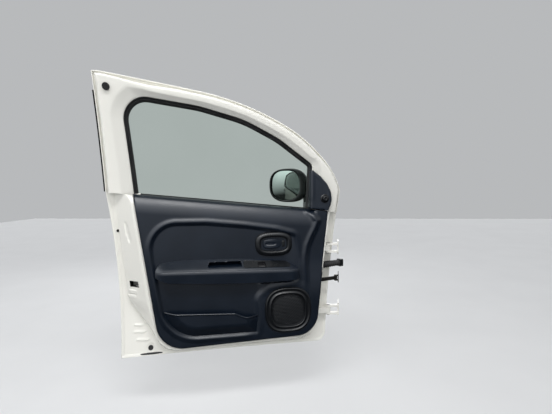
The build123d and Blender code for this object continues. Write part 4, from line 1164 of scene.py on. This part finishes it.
def mirror_shell():
    """Housing: the pane's hole, a rounded rim, a deep rounded back, and the neck on the arm."""
    hole = np.array(MIRROR_PANE) + (0, 0, PANE_GAP, PANE_GAP)
    shell = np.array(MIRROR_HEAD)
    rim = ((22, 0), (24.4, 0.05), (25.8, 0.2), (26, 0.45), (24.6, 0.75), (21.6, 0.93), (17, 1.0))
    back = (
        (9, 0.995), (-1, 0.965), (-12, 0.90), (-22, 0.81), (-32, 0.68), (-39.5, 0.52), (-44.5, 0.34),
        (-47, 0.16), (-47.6, 0.02))
    rows = [mirror_ring(hole, PANE_BACK)]
    rows += [mirror_ring(hole + (shell - hole) * share, out) for out, share in rim]
    for out, scale in back:
        rows.append(mirror_ring(shell * (1, 1, scale, scale) + ((scale - 1) * -10, 0, 0, 0), out))
    t = np.linspace(0, 2 * math.pi, NECK_COUNT, endpoint=False)
    circle = NECK_RADIUS * np.stack([np.cos(t), np.sin(t)], 1)
    neck = loft([np.column_stack([circle, np.full(NECK_COUNT, z)]) for z in NECK_Z])
    make("mirror_shell", join(loft(rows, cap_last=True), neck), ["mirror_housing"], "black_plastic",
         body="mirror_head", spot=mirror_spot)


def mirror_pane():
    pane = [mirror_ring(MIRROR_PANE, PANE_BACK)]
    for out, inset in ((21.2, 0), (22.0, 1.2)):
        pane.append(mirror_ring(np.array(MIRROR_PANE) - (0, 0, inset, inset), out))
    make("mirror_pane", loft(pane, cap_last=True), ["mirror_glass"], "mirror_silver", body="mirror_head",
         spot=mirror_spot)


mirror_shell()
mirror_pane()


# Stage, light and camera

FLOOR_Z, FLOOR_REACH = -0.5425, 9.0
IMAGE_WIDTH, FOCAL_PIXELS, SENSOR_WIDTH = 552, 408.4, 36.0
CAMERA_SPOT = (1.909, 0.009, 0.443)
CAMERA_AHEAD = (-0.988, -0.156, 0)  # before it is pitched down
CAMERA_PITCH, CAMERA_ROLL = math.radians(3.47), math.radians(-0.76)
BACKDROP = (0.48, 0.49, 0.50, 1)
# Axis, and the low end, high end and the brightness at each, of the light that gloss sees
GLOSS_SHADES = (("Z", (-0.30, 0.60, 0.1, 6.5)), ("Z", (0.72, 0.98, 1, 0.3)), ("Y", (0.36, 0.62, 1, 0.3)))


def stage_floor():
    """Pale floor. The camera sees it a little lighter than the lamps make it, and it keeps its shadow."""
    mat, tree, shader, coords = node_material("pale_floor")
    shader.inputs["Roughness"].default_value = 0.7
    tex = noise(tree, coords, 2.0)
    tone = ramp(tree, tex.outputs["Fac"], 0.3, 0.7, (0.50, 0.505, 0.51), (0.53, 0.535, 0.54))
    tree.links.new(tone.outputs["Color"], shader.inputs["Base Color"])
    path = tree.nodes.new("ShaderNodeLightPath")
    glow = span(tree, path.outputs["Is Camera Ray"], 0, 1, 0, 0.24)
    shader.inputs["Emission Color"].default_value = (0.98, 0.99, 1.0, 1)
    tree.links.new(glow.outputs["Result"], shader.inputs["Emission Strength"])
    mesh = bpy.data.meshes.new("floor")
    low, size = FLOOR_Z, FLOOR_REACH
    corners = [(-size, -size, low), (size, -size, low), (size, size, low), (-size, size, low)]
    mesh.from_pydata(corners, [], [(0, 1, 2, 3)])
    mesh.materials.append(mat)
    floor = bpy.data.objects.new("floor", mesh)
    bpy.context.scene.collection.objects.link(floor)
    floor.visible_glossy = False


def area_light(name, spot, target, size, power, sheen=True):
    light = bpy.data.lights.new(name, "AREA")
    light.shape = "RECTANGLE"
    light.size, light.size_y = size
    light.energy = power
    obj = bpy.data.objects.new(name, light)
    bpy.context.scene.collection.objects.link(obj)
    obj.location = spot
    obj.rotation_euler = (Vector(target) - Vector(spot)).to_track_quat("-Z", "Y").to_euler()
    obj.visible_camera = False
    obj.visible_transmission = False
    obj.visible_glossy = sheen


def camera():
    data = bpy.data.cameras.new("camera")
    data.sensor_fit = "HORIZONTAL"
    data.sensor_width = SENSOR_WIDTH
    data.lens = FOCAL_PIXELS / IMAGE_WIDTH * SENSOR_WIDTH
    cam = bpy.data.objects.new("camera", data)
    bpy.context.scene.collection.objects.link(cam)
    level = Vector(CAMERA_AHEAD).normalized()
    ahead = level * math.cos(CAMERA_PITCH) - Vector((0, 0, 1)) * math.sin(CAMERA_PITCH)
    top = level * math.sin(CAMERA_PITCH) + Vector((0, 0, 1)) * math.cos(CAMERA_PITCH)
    side = ahead.cross(top)
    right = side * math.cos(CAMERA_ROLL) + top * math.sin(CAMERA_ROLL)
    up = top * math.cos(CAMERA_ROLL) - side * math.sin(CAMERA_ROLL)
    turn = Matrix((right, up, -ahead)).transposed().to_4x4()
    cam.matrix_world = Matrix.Translation(CAMERA_SPOT) @ turn
    bpy.context.scene.camera = cam


def math_node(tree, operation, first, second):
    node = tree.nodes.new("ShaderNodeMath")
    node.operation = operation
    tree.links.new(first, node.inputs[0])
    tree.links.new(second, node.inputs[1])
    return node.outputs["Value"]


def show_backdrop(tree, light):
    """The camera and the glass see a plain pale backdrop; gloss sees it dark below and bright above."""
    path = tree.nodes.new("ShaderNodeLightPath")
    seen = math_node(tree, "MAXIMUM", path.outputs["Is Camera Ray"], path.outputs["Is Transmission Ray"])
    coords = tree.nodes.new("ShaderNodeTexCoord")
    split = tree.nodes.new("ShaderNodeSeparateXYZ")
    tree.links.new(coords.outputs["Generated"], split.inputs["Vector"])
    shades = [span(tree, split.outputs[axis], *spread).outputs["Result"] for axis, spread in GLOSS_SHADES]
    strength = math_node(tree, "MULTIPLY", math_node(tree, "MULTIPLY", shades[0], shades[1]), shades[2])
    shader = light.outputs["Background"]
    for source, fac in ((strength, path.outputs["Is Glossy Ray"]), (None, seen)):
        backdrop = tree.nodes.new("ShaderNodeBackground")
        backdrop.inputs["Color"].default_value = BACKDROP
        if source:
            tree.links.new(source, backdrop.inputs["Strength"])
        mix = tree.nodes.new("ShaderNodeMixShader")
        tree.links.new(fac, mix.inputs["Fac"])
        tree.links.new(shader, mix.inputs[1])
        tree.links.new(backdrop.outputs["Background"], mix.inputs[2])
        shader = mix.outputs["Shader"]
    tree.links.new(shader, tree.nodes["World Output"].inputs["Surface"])


def surroundings():
    """Soft light from all round."""
    world = bpy.data.worlds.new("world")
    bpy.context.scene.world = world
    world.use_nodes = True
    sky = world.node_tree.nodes["Background"]
    sky.inputs["Color"].default_value = (0.60, 0.61, 0.63, 1)
    sky.inputs["Strength"].default_value = 0.5
    show_backdrop(world.node_tree, sky)


bpy.context.scene.view_settings.view_transform = "Standard"
surroundings()
stage_floor()
area_light("front", (3.3, 0.3, 1.35), (0.3, -0.4, 0.3), (3.0, 1.0), 29, sheen=False)
area_light("key", (2.2, 0.9, 2.6), (0.3, -0.4, 0.1), (2.0, 1.0), 12, sheen=False)
area_light("fill", (2.4, -2.2, 1.2), (0.3, -0.5, 0.1), (1.6, 1.6), 12, sheen=False)
area_light("strip_rear", (2.05, -0.7, 2.3), (0.3, -0.7, 0.3), (1.0, 0.5), 22)
area_light("strip_front", (1.8, 0.3, 2.3), (0.2, -0.3, 0.3), (1.0, 0.5), 19)
area_light("outside", (-2.6, -1.8, 1.8), (0.2, -0.5, 0.1), (2.0, 1.4), 30, sheen=False)
camera()
